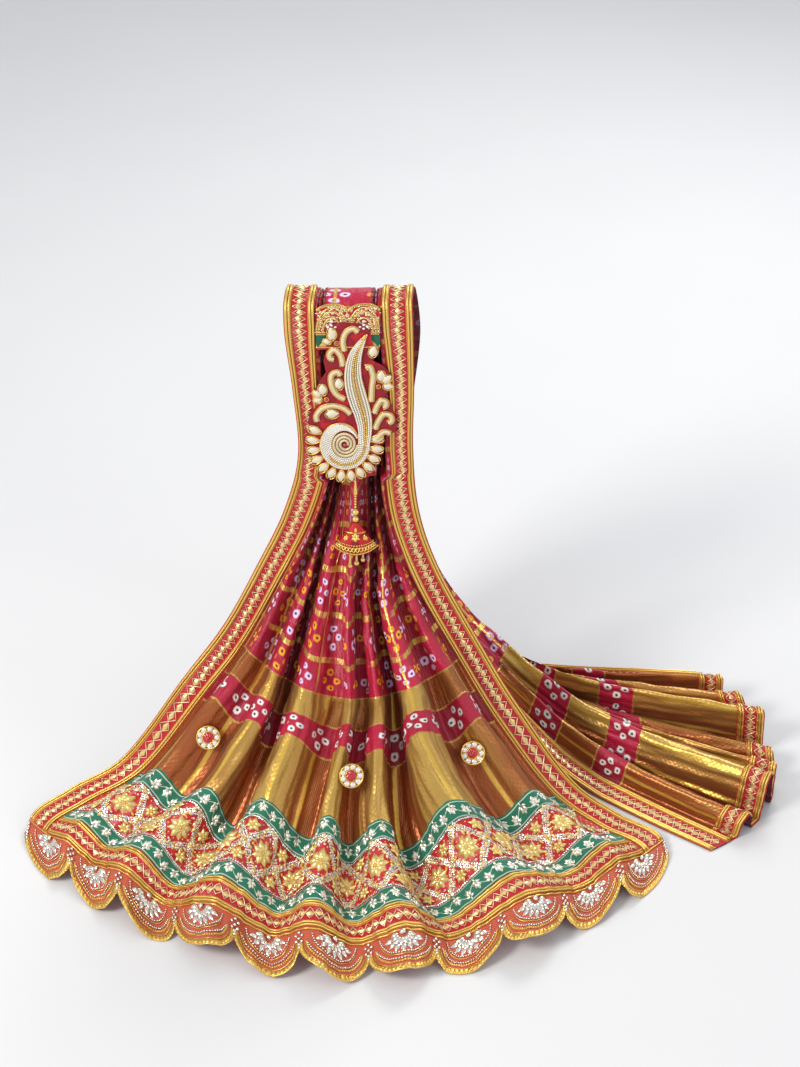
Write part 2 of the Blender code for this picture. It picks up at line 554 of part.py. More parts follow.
def lathe(name, profile, depth, look, collection, sides=14):
    """A turned shape, closed at both ends, flattened front to back by depth."""
    made = bmesh.new()
    rings = []
    for radius, z in profile:
        if radius < 1e-6:
            rings.append([made.verts.new((0, 0, z))])
        else:
            rings.append([made.verts.new((radius * math.cos(2 * math.pi * k / sides),
                                          radius * depth * math.sin(2 * math.pi * k / sides), z))
                          for k in range(sides)])
    for upper, lower in zip(rings, rings[1:]):
        for k in range(sides):
            ring = [upper[k % len(upper)], lower[k % len(lower)],
                    lower[(k + 1) % len(lower)], upper[(k + 1) % len(upper)]]
            made.faces.new(list(dict.fromkeys(ring)))
    for ring, turn in ((rings[0], 1), (rings[-1], -1)):
        if len(ring) > 2:
            made.faces.new(ring[::turn])
    mesh = bpy.data.meshes.new(name)
    made.to_mesh(mesh)
    made.free()
    mesh.shade_smooth()
    mesh.set_sharp_from_angle(angle=math.radians(40))
    return add_object(name, mesh, look, collection)


def ball(radius, steps=6):
    """Profile of a ball, from its top down to its foot."""
    return [(radius * math.sin(math.pi * k / steps), -radius + radius * math.cos(math.pi * k / steps))
            for k in range(steps + 1)]


def tassel_frame(start, tilt, down=0.0, aside=0.0):
    """Frame at a place along the tassel's axis: x to the right, z up along the axis."""
    up = Vector((0, math.sin(tilt), math.cos(tilt)))
    out = Vector((0, -math.cos(tilt), math.sin(tilt)))
    place = start - up * down + Vector((aside, 0, 0))
    return Matrix.Translation(place) @ Matrix((Vector((1, 0, 0)), -out, up)).transposed().to_4x4()


def tassel_room(tree, start, tilt):
    """Least room behind the tassel's pieces when it hangs with this tilt."""
    room, down = 1.0, 0.0
    turn = Matrix.Rotation(math.pi / 2, 4, "X")
    for _, _, upper, lower, length, depth, _ in TASSEL:
        wide = max(upper, lower)
        spots = [(wide * f, length * g / 2) for f in np.linspace(-1, 1, 25) for g in np.linspace(-1.05, 1.05, 15)]
        frame = tassel_frame(start, tilt, down + length / 2) @ turn
        room = min(room, -rise_over(tree, frame, spots) - wide * depth - GAP)
        down += length + GAP
    for _, x, length, radius in DROPS:
        reach = length + 2 * radius
        spots = [(f, reach * g / 2) for f in (-radius, 0, radius) for g in np.linspace(-1, 1, 15)]
        frame = tassel_frame(start, tilt, down + reach / 2, x) @ turn
        room = min(room, -rise_over(tree, frame, spots) - radius - GAP)
    return room


def add_tassel(tree, top, collection):
    """Pieces of the tassel in one line, lying just clear of the flaring cloth."""
    made = []
    start = top + Vector((0, -PATCH_THICK / 2 - TASSEL[0][2] - GAP, TASSEL_LAP))
    tilt = next((a for a in np.radians(np.arange(5.0, 45.0, 0.5)) if tassel_room(tree, start, a) > 0), 0.8)
    down = 0.0
    for name, shape, upper, lower, length, depth, look in TASSEL:
        if shape == "ball":
            profile = ball(upper)
        else:
            profile = [(upper, 0), (upper + (lower - upper) * 0.55, -length * 0.5), (lower, -length)]
        item = lathe(name, profile, depth, look, collection)
        item.matrix_world = tassel_frame(start, tilt, down)
        made.append(item)
        down += length + GAP
    for name, x, length, radius in DROPS:
        profile = [(DROP_STRING, 0), (DROP_STRING, -length)] + [
            (r, -length + d) for r, d in ball(radius) if r > DROP_STRING or d < -radius]
        item = lathe(name, profile, 1.0, "pearl", collection, 10)
        item.matrix_world = tassel_frame(start, tilt, down, x)
        made.append(item)
    return made


def add_jewel(name, s, t, across, along, points, ups, tree, collection):
    """A round jewel laid flat on the cloth at one place."""
    middle, up = Vector(at_place(points, across, along, s, t)), Vector(JEWEL_FACE).normalized()
    up = (up + 0.3 * Vector(at_place(ups, across, along, s, t))).normalized()
    right = Vector((1, 0, 0))
    right = (right - up * right.dot(up)).normalized()
    frame = Matrix.Translation(middle) @ Matrix((right, up.cross(right), up)).transposed().to_4x4()
    spots = [(JEWEL_RADIUS * f * math.cos(a), JEWEL_RADIUS * f * math.sin(a))
             for f in np.linspace(0, 1.04, 14) for a in (math.pi * k / JEWEL_SIDES for k in range(2 * JEWEL_SIDES))]
    clear = rise_over(tree, frame, spots, 2.5 * JEWEL_RADIUS) + GAP
    item = lathe(name, [(0, JEWEL_RISE), (JEWEL_RADIUS * 0.5, JEWEL_RISE * 0.9), (JEWEL_RADIUS, JEWEL_RISE * 0.45),
                        (JEWEL_RADIUS, 0)], 1.0, "jewel", collection, JEWEL_SIDES)
    item.matrix_world = Matrix.Translation(up * clear) @ frame
    return item


def main():
    """Build every piece of the cloth."""
    for item in list(bpy.data.objects):
        bpy.data.objects.remove(item)
    collection = bpy.data.collections.new("bandhani_cloth")
    bpy.context.scene.collection.children.link(collection)
    across, along = sheet_columns(), np.array(SECTION_STEPS)
    points, ups, bends = drape(across, along)
    ups, bends = lean(points, ups, bends)
    points -= np.array(ORIGIN)
    sewn = [add_layer("cloth", points, ups, bends, -CLOTH / 2, CLOTH / 2, "silk", collection, -1)]
    for row in STRIPS:
        sewn.append(add_strip(row, across, along, points, ups, bends, collection))
    sewn.append(add_lace(across, collection))
    sewn.append(add_head_band(collection))
    tree = surface_tree(sewn)
    patch, out = add_patch(tree, collection)
    bpy.context.view_layer.update()
    top = patch.matrix_world @ Vector((TASSEL_X, -PETAL_RING[1] - PETAL_RISE, 0))
    add_tassel(tree, top, collection)
    for name, s, t in JEWELS:
        add_jewel(name, s, t, across, along, points, ups, tree, collection)
    bpy.context.view_layer.update()


if __name__ == "__main__":
    main()
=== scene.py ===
"""Bandhani wedding cloth, gathered high and flaring to a lace hem, its tail spread behind.

The cloth is one sheet. Every braid, ribbon, bead and flower is worked out in the
sheet's own measures (across, along, height above it) and laid on its folds.
"""

from __future__ import annotations

import logging
import math
from dataclasses import dataclass, field
from enum import Enum
from functools import reduce
from typing import Sequence

import bmesh
import bpy
import numpy as np
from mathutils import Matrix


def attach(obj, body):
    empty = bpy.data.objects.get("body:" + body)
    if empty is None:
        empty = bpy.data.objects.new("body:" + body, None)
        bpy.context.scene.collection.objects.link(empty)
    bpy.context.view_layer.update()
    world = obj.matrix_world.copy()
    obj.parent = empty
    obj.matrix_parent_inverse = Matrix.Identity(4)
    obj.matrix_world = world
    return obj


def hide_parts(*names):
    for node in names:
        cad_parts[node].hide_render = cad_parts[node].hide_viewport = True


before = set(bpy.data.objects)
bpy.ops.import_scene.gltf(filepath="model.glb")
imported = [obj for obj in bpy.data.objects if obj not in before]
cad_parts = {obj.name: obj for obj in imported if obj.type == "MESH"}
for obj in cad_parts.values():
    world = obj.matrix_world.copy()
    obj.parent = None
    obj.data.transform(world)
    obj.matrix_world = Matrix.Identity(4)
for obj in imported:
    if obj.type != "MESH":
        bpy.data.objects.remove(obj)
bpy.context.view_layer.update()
LOG = logging.getLogger("bandhani")
Piece = bpy.types.Object
Socket = bpy.types.NodeSocket
Shape = tuple[np.ndarray, np.ndarray]  # points and quads
Triple = tuple[float, float, float]
Span = tuple[float, float]

ORIGIN = np.array((0.0763, -0.1091, 0.0))  # the part's origin in the sections' frame
WIDTH = 1.06  # the cloth, across
BORDER = 0.038  # a braid's width
TAIL = 2.200  # the tail's end, along the cloth from its front hem
LACE_TIP = -0.060  # the scallops' tips, along the cloth
RIBBONS = (0.038, 0.064, 0.134, 0.162)  # edges of the lower ribbon, then of the upper one, along the cloth
FLOOR = 0.0006  # the lowest that the cloth lies
EASE = 0.010  # the run over which the gathered front meets the braids
STEEP = 1.44  # the steepest wall of a fold, in radians
CREST = 0.10  # a crest's half width as a share of its fold
JEWEL_FRAMES = (  # each jewel's middle, right, up and outward directions
    ((-0.2567, -0.0508, 0.1496), (1.0, 0.026, -0.016), (0.0, 0.525, 0.851), (0.030, -0.851, 0.524)),
    ((-0.0705, -0.1211, 0.1466), (0.980, 0.162, -0.112), (0.0, 0.571, 0.821), (0.197, -0.805, 0.560)),
    ((0.0854, -0.0675, 0.1377), (0.999, -0.042, 0.027), (0.0, 0.535, 0.845), (-0.050, -0.844, 0.534)),
)


def columns(names: str, rows: Sequence[tuple]) -> dict[str, np.ndarray]:
    """The columns of a table, by their names."""
    return dict(zip(names.split(), np.array(rows, float).T))


SECTIONS = columns("t left_x left_y left_z mid_x mid_y mid_z right_x right_y right_z tuck gather swing", (
    (-0.060, -0.425, -0.230, -0.003, 0.001, -0.448, -0.004, 0.418, -0.262, -0.003, 0.00, 0.00, 0),
    (0.000, -0.426, -0.165, 0.011, 0.001, -0.390, 0.005, 0.415, -0.200, 0.008, 0.00, 0.00, 0),
    (0.080, -0.376, -0.135, 0.037, 0.000, -0.325, 0.012, 0.360, -0.165, 0.020, 0.00, 0.00, 12),
    (0.162, -0.303, -0.115, 0.076, 0.002, -0.255, 0.035, 0.299, -0.135, 0.052, 0.00, 0.00, 24),
    (0.256, -0.217, -0.090, 0.192, -0.001, -0.175, 0.100, 0.221, -0.105, 0.163, 0.00, 0.00, 20),
    (0.356, -0.162, -0.072, 0.265, -0.001, -0.120, 0.180, 0.173, -0.080, 0.242, 0.10, 0.00, 12),
    (0.470, -0.113, -0.055, 0.355, 0.001, -0.078, 0.290, 0.119, -0.060, 0.345, 0.28, 0.30, 4),
    (0.584, -0.078, -0.042, 0.429, 0.002, -0.050, 0.398, 0.092, -0.045, 0.426, 0.20, 0.80, 0),
    (0.700, -0.059, -0.034, 0.509, 0.003, -0.036, 0.509, 0.084, -0.036, 0.516, 0.00, 1.00, 0),
    (0.800, -0.064, -0.028, 0.595, 0.004, -0.029, 0.596, 0.085, -0.029, 0.596, 0.05, 1.00, 0),
    (0.900, -0.072, -0.023, 0.679, 0.005, -0.023, 0.681, 0.084, -0.023, 0.681, 0.60, 1.00, 0),
    (0.940, -0.072, -0.014, 0.705, 0.006, -0.015, 0.706, 0.083, -0.014, 0.707, 0.80, 1.00, 0),
    (0.970, -0.070, 0.003, 0.714, 0.007, 0.002, 0.714, 0.084, 0.003, 0.715, 0.84, 1.00, 0),
    (1.000, -0.069, 0.026, 0.706, 0.009, 0.025, 0.706, 0.086, 0.026, 0.706, 0.80, 1.00, 0),
    (1.080, -0.064, 0.060, 0.632, 0.014, 0.062, 0.630, 0.093, 0.060, 0.635, 0.25, 0.90, 0),
    (1.200, -0.056, 0.080, 0.520, 0.014, 0.090, 0.515, 0.085, 0.080, 0.525, 0.10, 0.20, 0),
    (1.400, -0.068, 0.115, 0.330, -0.004, 0.128, 0.325, 0.064, 0.110, 0.335, 0.04, 0.00, 0),
    (1.560, -0.035, 0.170, 0.170, 0.025, 0.155, 0.188, 0.082, 0.115, 0.215, 0.12, 0.00, 0),
    (1.700, 0.050, 0.185, 0.065, 0.105, 0.140, 0.085, 0.150, 0.078, 0.135, 0.46, 0.00, 0),
    (1.800, 0.135, 0.170, 0.035, 0.198, 0.092, 0.035, 0.208, 0.014, 0.080, 0.48, 0.00, 0),
    (1.900, 0.220, 0.145, 0.034, 0.298, 0.043, 0.010, 0.262, -0.052, 0.028, 0.42, 0.00, 0),
    (2.000, 0.315, 0.132, 0.034, 0.395, 0.004, 0.001, 0.330, -0.107, 0.002, 0.30, 0.00, 0),
    (2.100, 0.405, 0.125, 0.034, 0.490, -0.035, -0.002, 0.405, -0.165, -0.004, 0.22, 0.00, 0),
    (2.200, 0.495, 0.120, 0.032, 0.580, -0.075, -0.003, 0.476, -0.215, -0.004, 0.18, 0.00, 0),
))
FOLD = "start end hem middle top tail tuck_top"
FOLDS = columns(FOLD, (
    (0.038, 0.134, 0.70, 0.60, 1.00, 1.1, 0.34),
    (0.134, 0.264, 0.90, 0.60, 1.00, 0.5, 0.54),
    (0.264, 0.441, 1.00, 0.60, 0.00, 1.1, 0.98),
    (0.441, 0.560, 1.10, 0.80, 0.00, 0.5, 0.98),
    (0.560, 0.704, 1.10, 0.80, 0.00, 1.2, 0.98),
    (0.704, 0.910, 0.80, 0.50, 1.00, 0.8, 0.76),
    (0.910, 1.022, 0.70, 0.60, 1.00, 0.6, 0.46),
))
LOBES = columns(FOLD, (
    (0.038, 0.264, 0.10, 0.40, 0.00, 0.0, 0.0),
    (0.264, 0.704, 0.12, 0.45, 0.00, 0.0, 0.0),
    (0.704, 1.022, 0.10, 0.35, 0.00, 0.0, 0.0),
))


class Colour(Enum):
    """Thread and stone colours, as linear red, green and blue; some of them also serve as painted shade and
    painted light on the silk, the tissue and the braid.
    """

    # CRIMSON and MAGENTA are the silk's dye; by fold height they also paint its shade in the valleys and its
    # light on the crests.
    CRIMSON = (0.250, 0.000, 0.012)
    MAGENTA = (0.430, 0.002, 0.034)
    # WINE: the dark eyes of the tied dots, and also the painted shade on the cloth's back faces.
    WINE = (0.060, 0.000, 0.006)
    SCARLET = (0.480, 0.008, 0.006)
    # TISSUE and COPPER are the tissue's gold and copper threads; by fold height they also paint its light on
    # the crests and its shade in the valleys.
    TISSUE = (0.50, 0.31, 0.072)
    COPPER = (0.270, 0.034, 0.008)
    ZARI = (0.80, 0.50, 0.115)
    PALE_ZARI = (0.82, 0.54, 0.14)
    MARIGOLD = (0.86, 0.33, 0.004)
    LAVENDER = (0.76, 0.56, 0.80)
    WHITE = (0.82, 0.78, 0.74)
    EMERALD = (0.001, 0.100, 0.050)
    LEAF = (0.002, 0.200, 0.105)
    GREEN_GOLD = (0.66, 0.57, 0.27)
    SILVER = (0.80, 0.79, 0.68)
    PEARL = (0.80, 0.75, 0.62)
    CREAM = (0.74, 0.65, 0.46)
    DULL_CREAM = (0.80, 0.74, 0.60)
    RIB = (0.76, 0.57, 0.29)
    FOIL = (0.78, 0.62, 0.34)
    GOLD_PEARL = (0.68, 0.49, 0.18)
    ROSE = (0.440, 0.004, 0.016)
    NET = (0.440, 0.020, 0.045)
    STRIPE = (0.72, 0.46, 0.070)
    # OLD_GOLD: painted shade in the sunken lines of the braid's gold edges.
    OLD_GOLD = (0.36, 0.14, 0.010)
    BEIGE = (0.62, 0.42, 0.17)

    @property
    def rgba(self) -> tuple[float, float, float, float]:
        """With full alpha."""
        return (*self.value, 1.0)


# ------------------------------------------------------------------ surfaces
def spread(*values: object) -> list[np.ndarray]:
    """The values as arrays of numbers, all of one size."""
    return np.broadcast_arrays(*(np.asarray(value, float) for value in values))


def unit(vectors: np.ndarray, tiny: float = 0.0) -> np.ndarray:
    """The vectors at length one; tiny keeps an empty one from dividing by zero."""
    return vectors / (np.linalg.norm(vectors, axis=-1) + tiny)[..., None]


def chords(path: np.ndarray) -> np.ndarray:
    """Length along a path at each of its points."""
    return np.concatenate([[0], np.cumsum(np.linalg.norm(np.diff(path, axis=0), axis=1))])


def through(knots: np.ndarray, values: np.ndarray, at: np.ndarray) -> np.ndarray:
    """Smooth cubic curve through values given at uneven knots.

    Args:
        knots: rising places.
        values: one value a knot.
        at: places to read.

    Returns:
        The curve's value at each place (cubic Hermite with centred slopes).
    """
    slope = np.gradient(values, knots)
    i = np.clip(np.searchsorted(knots, at, side="right") - 1, 0, len(knots) - 2)
    gap = knots[i + 1] - knots[i]
    f = (at - knots[i]) / gap
    return ((1 + 2 * f) * (1 - f) ** 2 * values[i] + f * (1 - f) ** 2 * gap * slope[i]
            + f * f * (3 - 2 * f) * values[i + 1] + f * f * (f - 1) * gap * slope[i + 1])


class Ground:
    """Anything that ornaments can be laid on, in its own two measures and a height."""

    def place(self, a: np.ndarray, b: np.ndarray, h: np.ndarray) -> np.ndarray:
        """Return the points in metres for the measures a, b and the height h."""
        raise NotImplementedError


@dataclass
class Drape(Ground):
    """The draped sheet: a base line for each section along it, with folds standing on it."""

    columns: int = 259
    creases: float = 0.0015
    panel: Triple = (0.264, 0.704, 0.052)
    face: Span = (0.462, 0.516)
    stages: tuple = ((-0.06, "hem"), (0.10, "hem"), (0.356, "middle"), (0.50, "middle"), (0.66, "top"),
                     (1.05, "top"), (1.15, "fan"), (1.65, "fan"), (1.9, "tail"), (2.2, "tail"))
    s: np.ndarray = field(init=False)
    t: np.ndarray = field(init=False)
    points: np.ndarray = field(init=False)
    normals: np.ndarray = field(init=False)
    heights: np.ndarray = field(init=False)

    def __post_init__(self) -> None:
        """Work the sheet out once, on a fine grid, and its normals from its own slopes."""
        self.s = np.linspace(0, WIDTH, self.columns)
        self.t = np.concatenate([np.linspace(LACE_TIP, 0, 17)[:-1], np.linspace(0, 1.05, 232)[:-1],
                                 np.linspace(1.05, TAIL, 146)])
        self.points = self.rows(self.t)
        self.points += self.facing() * self.crease()[..., None]
        self.points[..., 2] = np.maximum(self.points[..., 2], FLOOR)
        self.normals = self.facing()

    def section(self, t: np.ndarray, name: str) -> np.ndarray:
        """Return one column of the sections at the places t."""
        return through(SECTIONS["t"], SECTIONS[name], t)

    def base(self, t: np.ndarray, count: int = 401) -> tuple[np.ndarray, np.ndarray]:
        """Base line of each section: a parabola through its left, middle and right.

        Args:
            t: places along the cloth.
            count: points across.

        Returns:
            The lines, and the length along each.
        """
        left, mid, right = (np.stack([self.section(t, side + axis) for axis in "xyz"], 1)[:, None]
                            for side in ("left_", "mid_", "right_"))
        f = np.linspace(-1, 1, count)[None, :, None]
        line = mid + f * (right - left) / 2 + f ** 2 * ((left + right) / 2 - mid)
        step = np.linalg.norm(np.diff(line, axis=1), axis=2)
        return line, np.concatenate([np.zeros((len(t), 1)), np.cumsum(step, 1)], 1)

    def strengths(self, lobes: bool, t: np.ndarray) -> np.ndarray:
        """How strongly each fold, or each broad lobe, stands at the places t."""
        table = LOBES if lobes else FOLDS
        rows = []
        for _, stage in self.stages:
            if stage == "fan":
                rows.append((0.6 + 0.4 * table["tail"]) * (not lobes))
            else:
                rows.append(table[stage])
        knots = np.array([place for place, _ in self.stages])
        return np.stack([np.interp(t, knots, row) for row in np.array(rows).T], 1)

    @staticmethod
    def among(table: dict[str, np.ndarray], s: np.ndarray) -> tuple[np.ndarray, ...]:
        """Starts and ends of a table's folds, each place's own fold, and where there is one."""
        start, end = table["start"], table["end"]
        own = np.clip(np.searchsorted(start, s, side="right") - 1, 0, len(start) - 1)
        return start, end, own, (s >= start[0]) & (s <= end[-1])

    def waves(self, lobes: bool, s: np.ndarray, length: np.ndarray, t: np.ndarray,
              power: np.ndarray) -> np.ndarray:
        """Slope of the folds' walls: a sine over each fold, raised to a power for sharper crests."""
        table = LOBES if lobes else FOLDS
        start, end, k, inside = self.among(table, s)
        first = np.stack([np.interp(start, s, row) for row in length])[:, k]
        last = np.stack([np.interp(end, s, row) for row in length])[:, k]
        wave = np.sin(2 * np.pi * np.clip((length - first) / (last - first), 0, 1)) * inside
        return np.sign(wave) * np.abs(wave) ** power[:, None] * self.strengths(lobes, t)[:, k]

    def rows(self, t: np.ndarray, count: int = 1061) -> np.ndarray:
        """The sheet's points: the cloth's own length is laid off along steep or shallow walls.

        The slope's scale is found by halving, so that each row spans its base line.

        Args:
            t: places along the cloth.
            count: steps across that the walls are summed over.

        Returns:
            Points, rows by columns by three.
        """
        line, along = self.base(t)
        span = along[:, -1]
        tuck = np.clip(self.section(t, "tuck")[:, None], 0, 0.95)
        gather = np.clip(self.section(t, "gather")[:, None], 0, 1)
        s = np.linspace(0, WIDTH, count)
        step = s[1] - s[0]
        start, end, k, inside = self.among(FOLDS, s)
        crest = np.exp(-(((s - start[k]) / (end[k] - start[k]) - 0.5) / CREST) ** 2)
        first, last, wall = self.panel
        walls = (np.abs(s - first - wall / 2) < wall / 2) | (np.abs(s - last + wall / 2) < wall / 2)
        face = (s > self.face[0]) & (s < self.face[1])
        panel = (s >= first) & (s <= last)
        shown = np.where(panel, np.maximum(0.85 * walls, face) * (1 - tuck * walls), 0.3 * crest * (1 - tuck))
        hidden = FOLDS["tuck_top"][k]
        hidden = hidden + (1 - hidden) * tuck * np.where(panel, walls, 1)
        keep = (1 - gather) * (1 - tuck * (1 - crest)) + gather * (1 - hidden * (1 - shown))
        keep = np.where(inside, keep, 1.0)
        length = np.cumsum(keep, 1) * step
        length -= length[:, :1]
        power = np.interp(t, [0.0, 0.2, 0.5, 1.9, 2.2], [0.55, 0.6, 0.9, 0.9, 0.7])
        shape = self.waves(False, s, length, t, power) + self.waves(True, s, length, t, np.ones(len(t)))
        push = np.where(walls, np.where(s < (first + last) / 2, 1.0, -1.0), 0.0)
        shape += np.clip((gather - 0.2) / 0.8, 0, 1) * push
        low, high = np.zeros(len(t)), np.full(len(t), 60.0)
        for _ in range(40):
            middle = (low + high) / 2
            slope = np.clip(middle[:, None] * shape, -STEEP, STEEP)
            wide = (np.cos(slope) * keep).sum(1) * step > span
            low, high = np.where(wide, middle, low), np.where(wide, high, middle)
        a = np.cumsum(np.cos(slope) * keep, 1) * step
        b = np.cumsum(np.sin(slope) * keep, 1) * step
        a, b = a - a[:, :1], b - b[:, :1]
        b -= b[:, -1:] * length / length[:, -1:]
        b -= np.minimum(b.min(1), 0)[:, None] * inside
        a *= (span / a[:, -1])[:, None]
        sides = [np.array([np.interp(place, s, row) for row in a])[:, None]
                 for place in (BORDER, WIDTH - BORDER)]
        edge = np.clip(np.minimum(a - sides[0], sides[1] - a) / EASE, 0, 1)
        level = np.maximum(b.max(1), 0)[:, None]
        b = np.minimum(b - gather * level * edge * edge * (3 - 2 * edge), (1 - gather) * level)
        ahead = (self.base(t + 0.02)[0] - self.base(t - 0.02)[0])[:, line.shape[1] // 2]
        toward = unit(np.cross(line[:, -1] - line[:, 0], ahead))
        swing = np.radians(self.section(t, "swing"))[:, None]
        toward = np.cos(swing) * toward + np.sin(swing) * ahead / np.linalg.norm(ahead, axis=1)[:, None]
        places, self.heights = np.empty((len(t), len(self.s), 3)), np.empty((len(t), len(self.s)))
        for i in range(len(t)):
            at, rise = np.interp(self.s, s, a[i]), np.interp(self.s, s, b[i])
            slope_line = np.gradient(line[i], along[i], axis=0)
            base, tangent = (np.stack([np.interp(at, along[i], c) for c in part.T], 1)
                             for part in (line[i], slope_line))
            tangent = unit(tangent)
            up = toward[i] - (tangent @ toward[i])[:, None] * tangent
            places[i] = base + rise[:, None] * up / np.linalg.norm(up, axis=1)[:, None]
            self.heights[i] = (rise - rise.min()) / max(np.ptp(rise), 0.004)
        places[..., 2] = np.maximum(places[..., 2], FLOOR)
        return places - ORIGIN

    def facing(self) -> np.ndarray:
        """Unit normals of the grid: the cross product of its two slopes, softened once."""
        across, along = np.gradient(self.points, axis=1), np.gradient(self.points, axis=0)
        normal = unit(np.cross(across, along), 1e-12)
        for axis in (0, 1):
            padded = np.concatenate([normal.take([0], axis), normal, normal.take([-1], axis)], axis)
            n = normal.shape[axis]
            normal = (padded.take(range(0, n), axis) + 2 * padded.take(range(1, n + 1), axis)
                      + padded.take(range(2, n + 2), axis))
        return unit(normal, 1e-12)

    def crease(self) -> np.ndarray:
        """Fine creases that run down the folds, and crushed ridges across them.

        The creases are sines across, bent and faded along; a ridge is a wave's
        size, |sin|, turned over, along lines that lean across the cloth. Both
        fade out on the braids and under the jewels.
        """
        s, t = np.meshgrid(self.s, self.t)
        wander = 0.01 * np.sin(7.1 * t + 1.3) + 0.006 * np.sin(17.0 * t + 9.0 * s)
        fine = (np.sin(2 * np.pi * (s + wander) / 0.031) * np.sin(5.3 * t + 11 * s + 0.4)
                + 0.6 * np.sin(2 * np.pi * (s - 0.7 * wander) / 0.0173 + 3.0 * np.sin(9.0 * t)))
        cross = 0.5 * np.sin(2 * np.pi * (t + 0.18 * np.sin(8 * s)) / 0.083) * np.sin(23 * s + 3 * t)
        leaning = t + 0.35 * s + 0.011 * np.sin(21 * s) + 0.008 * np.sin(13 * t + 30 * s)
        silk = np.interp(t, [0.16, 0.2, 0.36, 0.42, 0.6, 1.15, 1.35, 2.16],
                         [0.0, 0.45, 0.6, 1.2, 1.4, 1.4, 1.2, 0.5])
        crush = silk * (0.55 - np.abs(np.sin(np.pi * leaning / 0.047))) * (0.3 + np.sin(25 * s - 9 * t) ** 2)
        near = np.min([np.linalg.norm(self.points - np.array(spot[0]), axis=-1) for spot in JEWEL_FRAMES],
                      axis=0)
        calm = np.clip(np.minimum(s - BORDER, WIDTH - BORDER - s) / 0.05, 0.2, 1)
        calm = calm * np.clip((near - 0.017) / 0.02, 0, 1)
        lift = np.clip((self.points[..., 2] - FLOOR) / 0.01, 0, 1)
        tight = np.interp(t, [-0.06, 0.05, 0.2, 0.45, 0.6, 1.15, 1.35, 1.7, 2.2],
                          [0.8, 0.9, 1.3, 1.0, 0.1, 0.1, 1.0, 1.2, 1.0])
        return self.creases * ((fine + cross) * tight + crush * np.clip(tight * 2, 0, 1)) * calm * lift

    def place(self, a: np.ndarray, b: np.ndarray, h: np.ndarray) -> np.ndarray:
        """Points on the sheet at a across and b along, h above its face (straight between grid points)."""
        a, b, h = spread(a, b, h)
        i = np.clip(np.searchsorted(self.s, a) - 1, 0, len(self.s) - 2)
        j = np.clip(np.searchsorted(self.t, b) - 1, 0, len(self.t) - 2)
        f = ((a - self.s[i]) / (self.s[i + 1] - self.s[i]))[..., None]
        g = ((b - self.t[j]) / (self.t[j + 1] - self.t[j]))[..., None]
        spot, normal = (((1 - g) * ((1 - f) * grid[j, i] + f * grid[j, i + 1])
                         + g * ((1 - f) * grid[j + 1, i] + f * grid[j + 1, i + 1]))
                        for grid in (self.points, self.normals))
        spot = spot + unit(normal, 1e-12) * h[..., None]
        spot[..., 2] = np.maximum(spot[..., 2], FLOOR * 0.3)
        return spot


@dataclass
class TopBand(Ground):
    """The face across the top of the front: a measure from its middle, and the place along the cloth."""

    drape: Drape

    def place(self, a: np.ndarray, b: np.ndarray, h: np.ndarray) -> np.ndarray:
        """Points a across from the base line's middle, b along the cloth and h out from it."""
        a, b, h = spread(a, b, h)
        t = np.linspace(0.82, 0.98, 33)
        line, _ = self.drape.base(t, 3)
        middle, right = line[:, 1], line[:, 2] - line[:, 0]
        right = unit(right)
        out = unit(np.cross(right, np.gradient(middle, t, axis=0)))
        middle, right, out = (np.stack([np.interp(b, t, c) for c in part.T], -1)
                              for part in (middle, right, out))
        return middle + right * a[..., None] + out * h[..., None] - ORIGIN


@dataclass
class Plate(Ground):
    """A flat or tilted place for ornaments: its middle and its three directions."""

    middle: Triple
    right: Triple
    up: Triple
    out: Triple

    def place(self, a: np.ndarray, b: np.ndarray, h: np.ndarray) -> np.ndarray:
        """Points a to the right, b up and h out."""
        a, b, h = spread(a, b, h)
        axes = np.array((self.right, self.up, self.out))
        return np.array(self.middle) + np.stack([a, b, h], -1) @ axes


# ------------------------------------------------------------------ meshes
def grid_faces(rows: int, columns: int) -> np.ndarray:
    """Quads of a grid of points, whose face is a cross b."""
    j, i = np.meshgrid(np.arange(rows - 1), np.arange(columns - 1), indexing="ij")
    a = (j * columns + i).ravel()
    return np.stack([a, a + 1, a + columns + 1, a + columns], 1)


def link(name: str, data: bpy.types.ID) -> Piece:
    """An object of the data, linked to the scene."""
    made = bpy.data.objects.new(name, data)
    bpy.context.scene.collection.objects.link(made)
    return made


def cover(name: str, finish: Finish) -> None:
    """Give a CAD node that stays in sight its own finish."""
    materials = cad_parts[name].data.materials
    materials.clear()
    materials.append(finish.material())


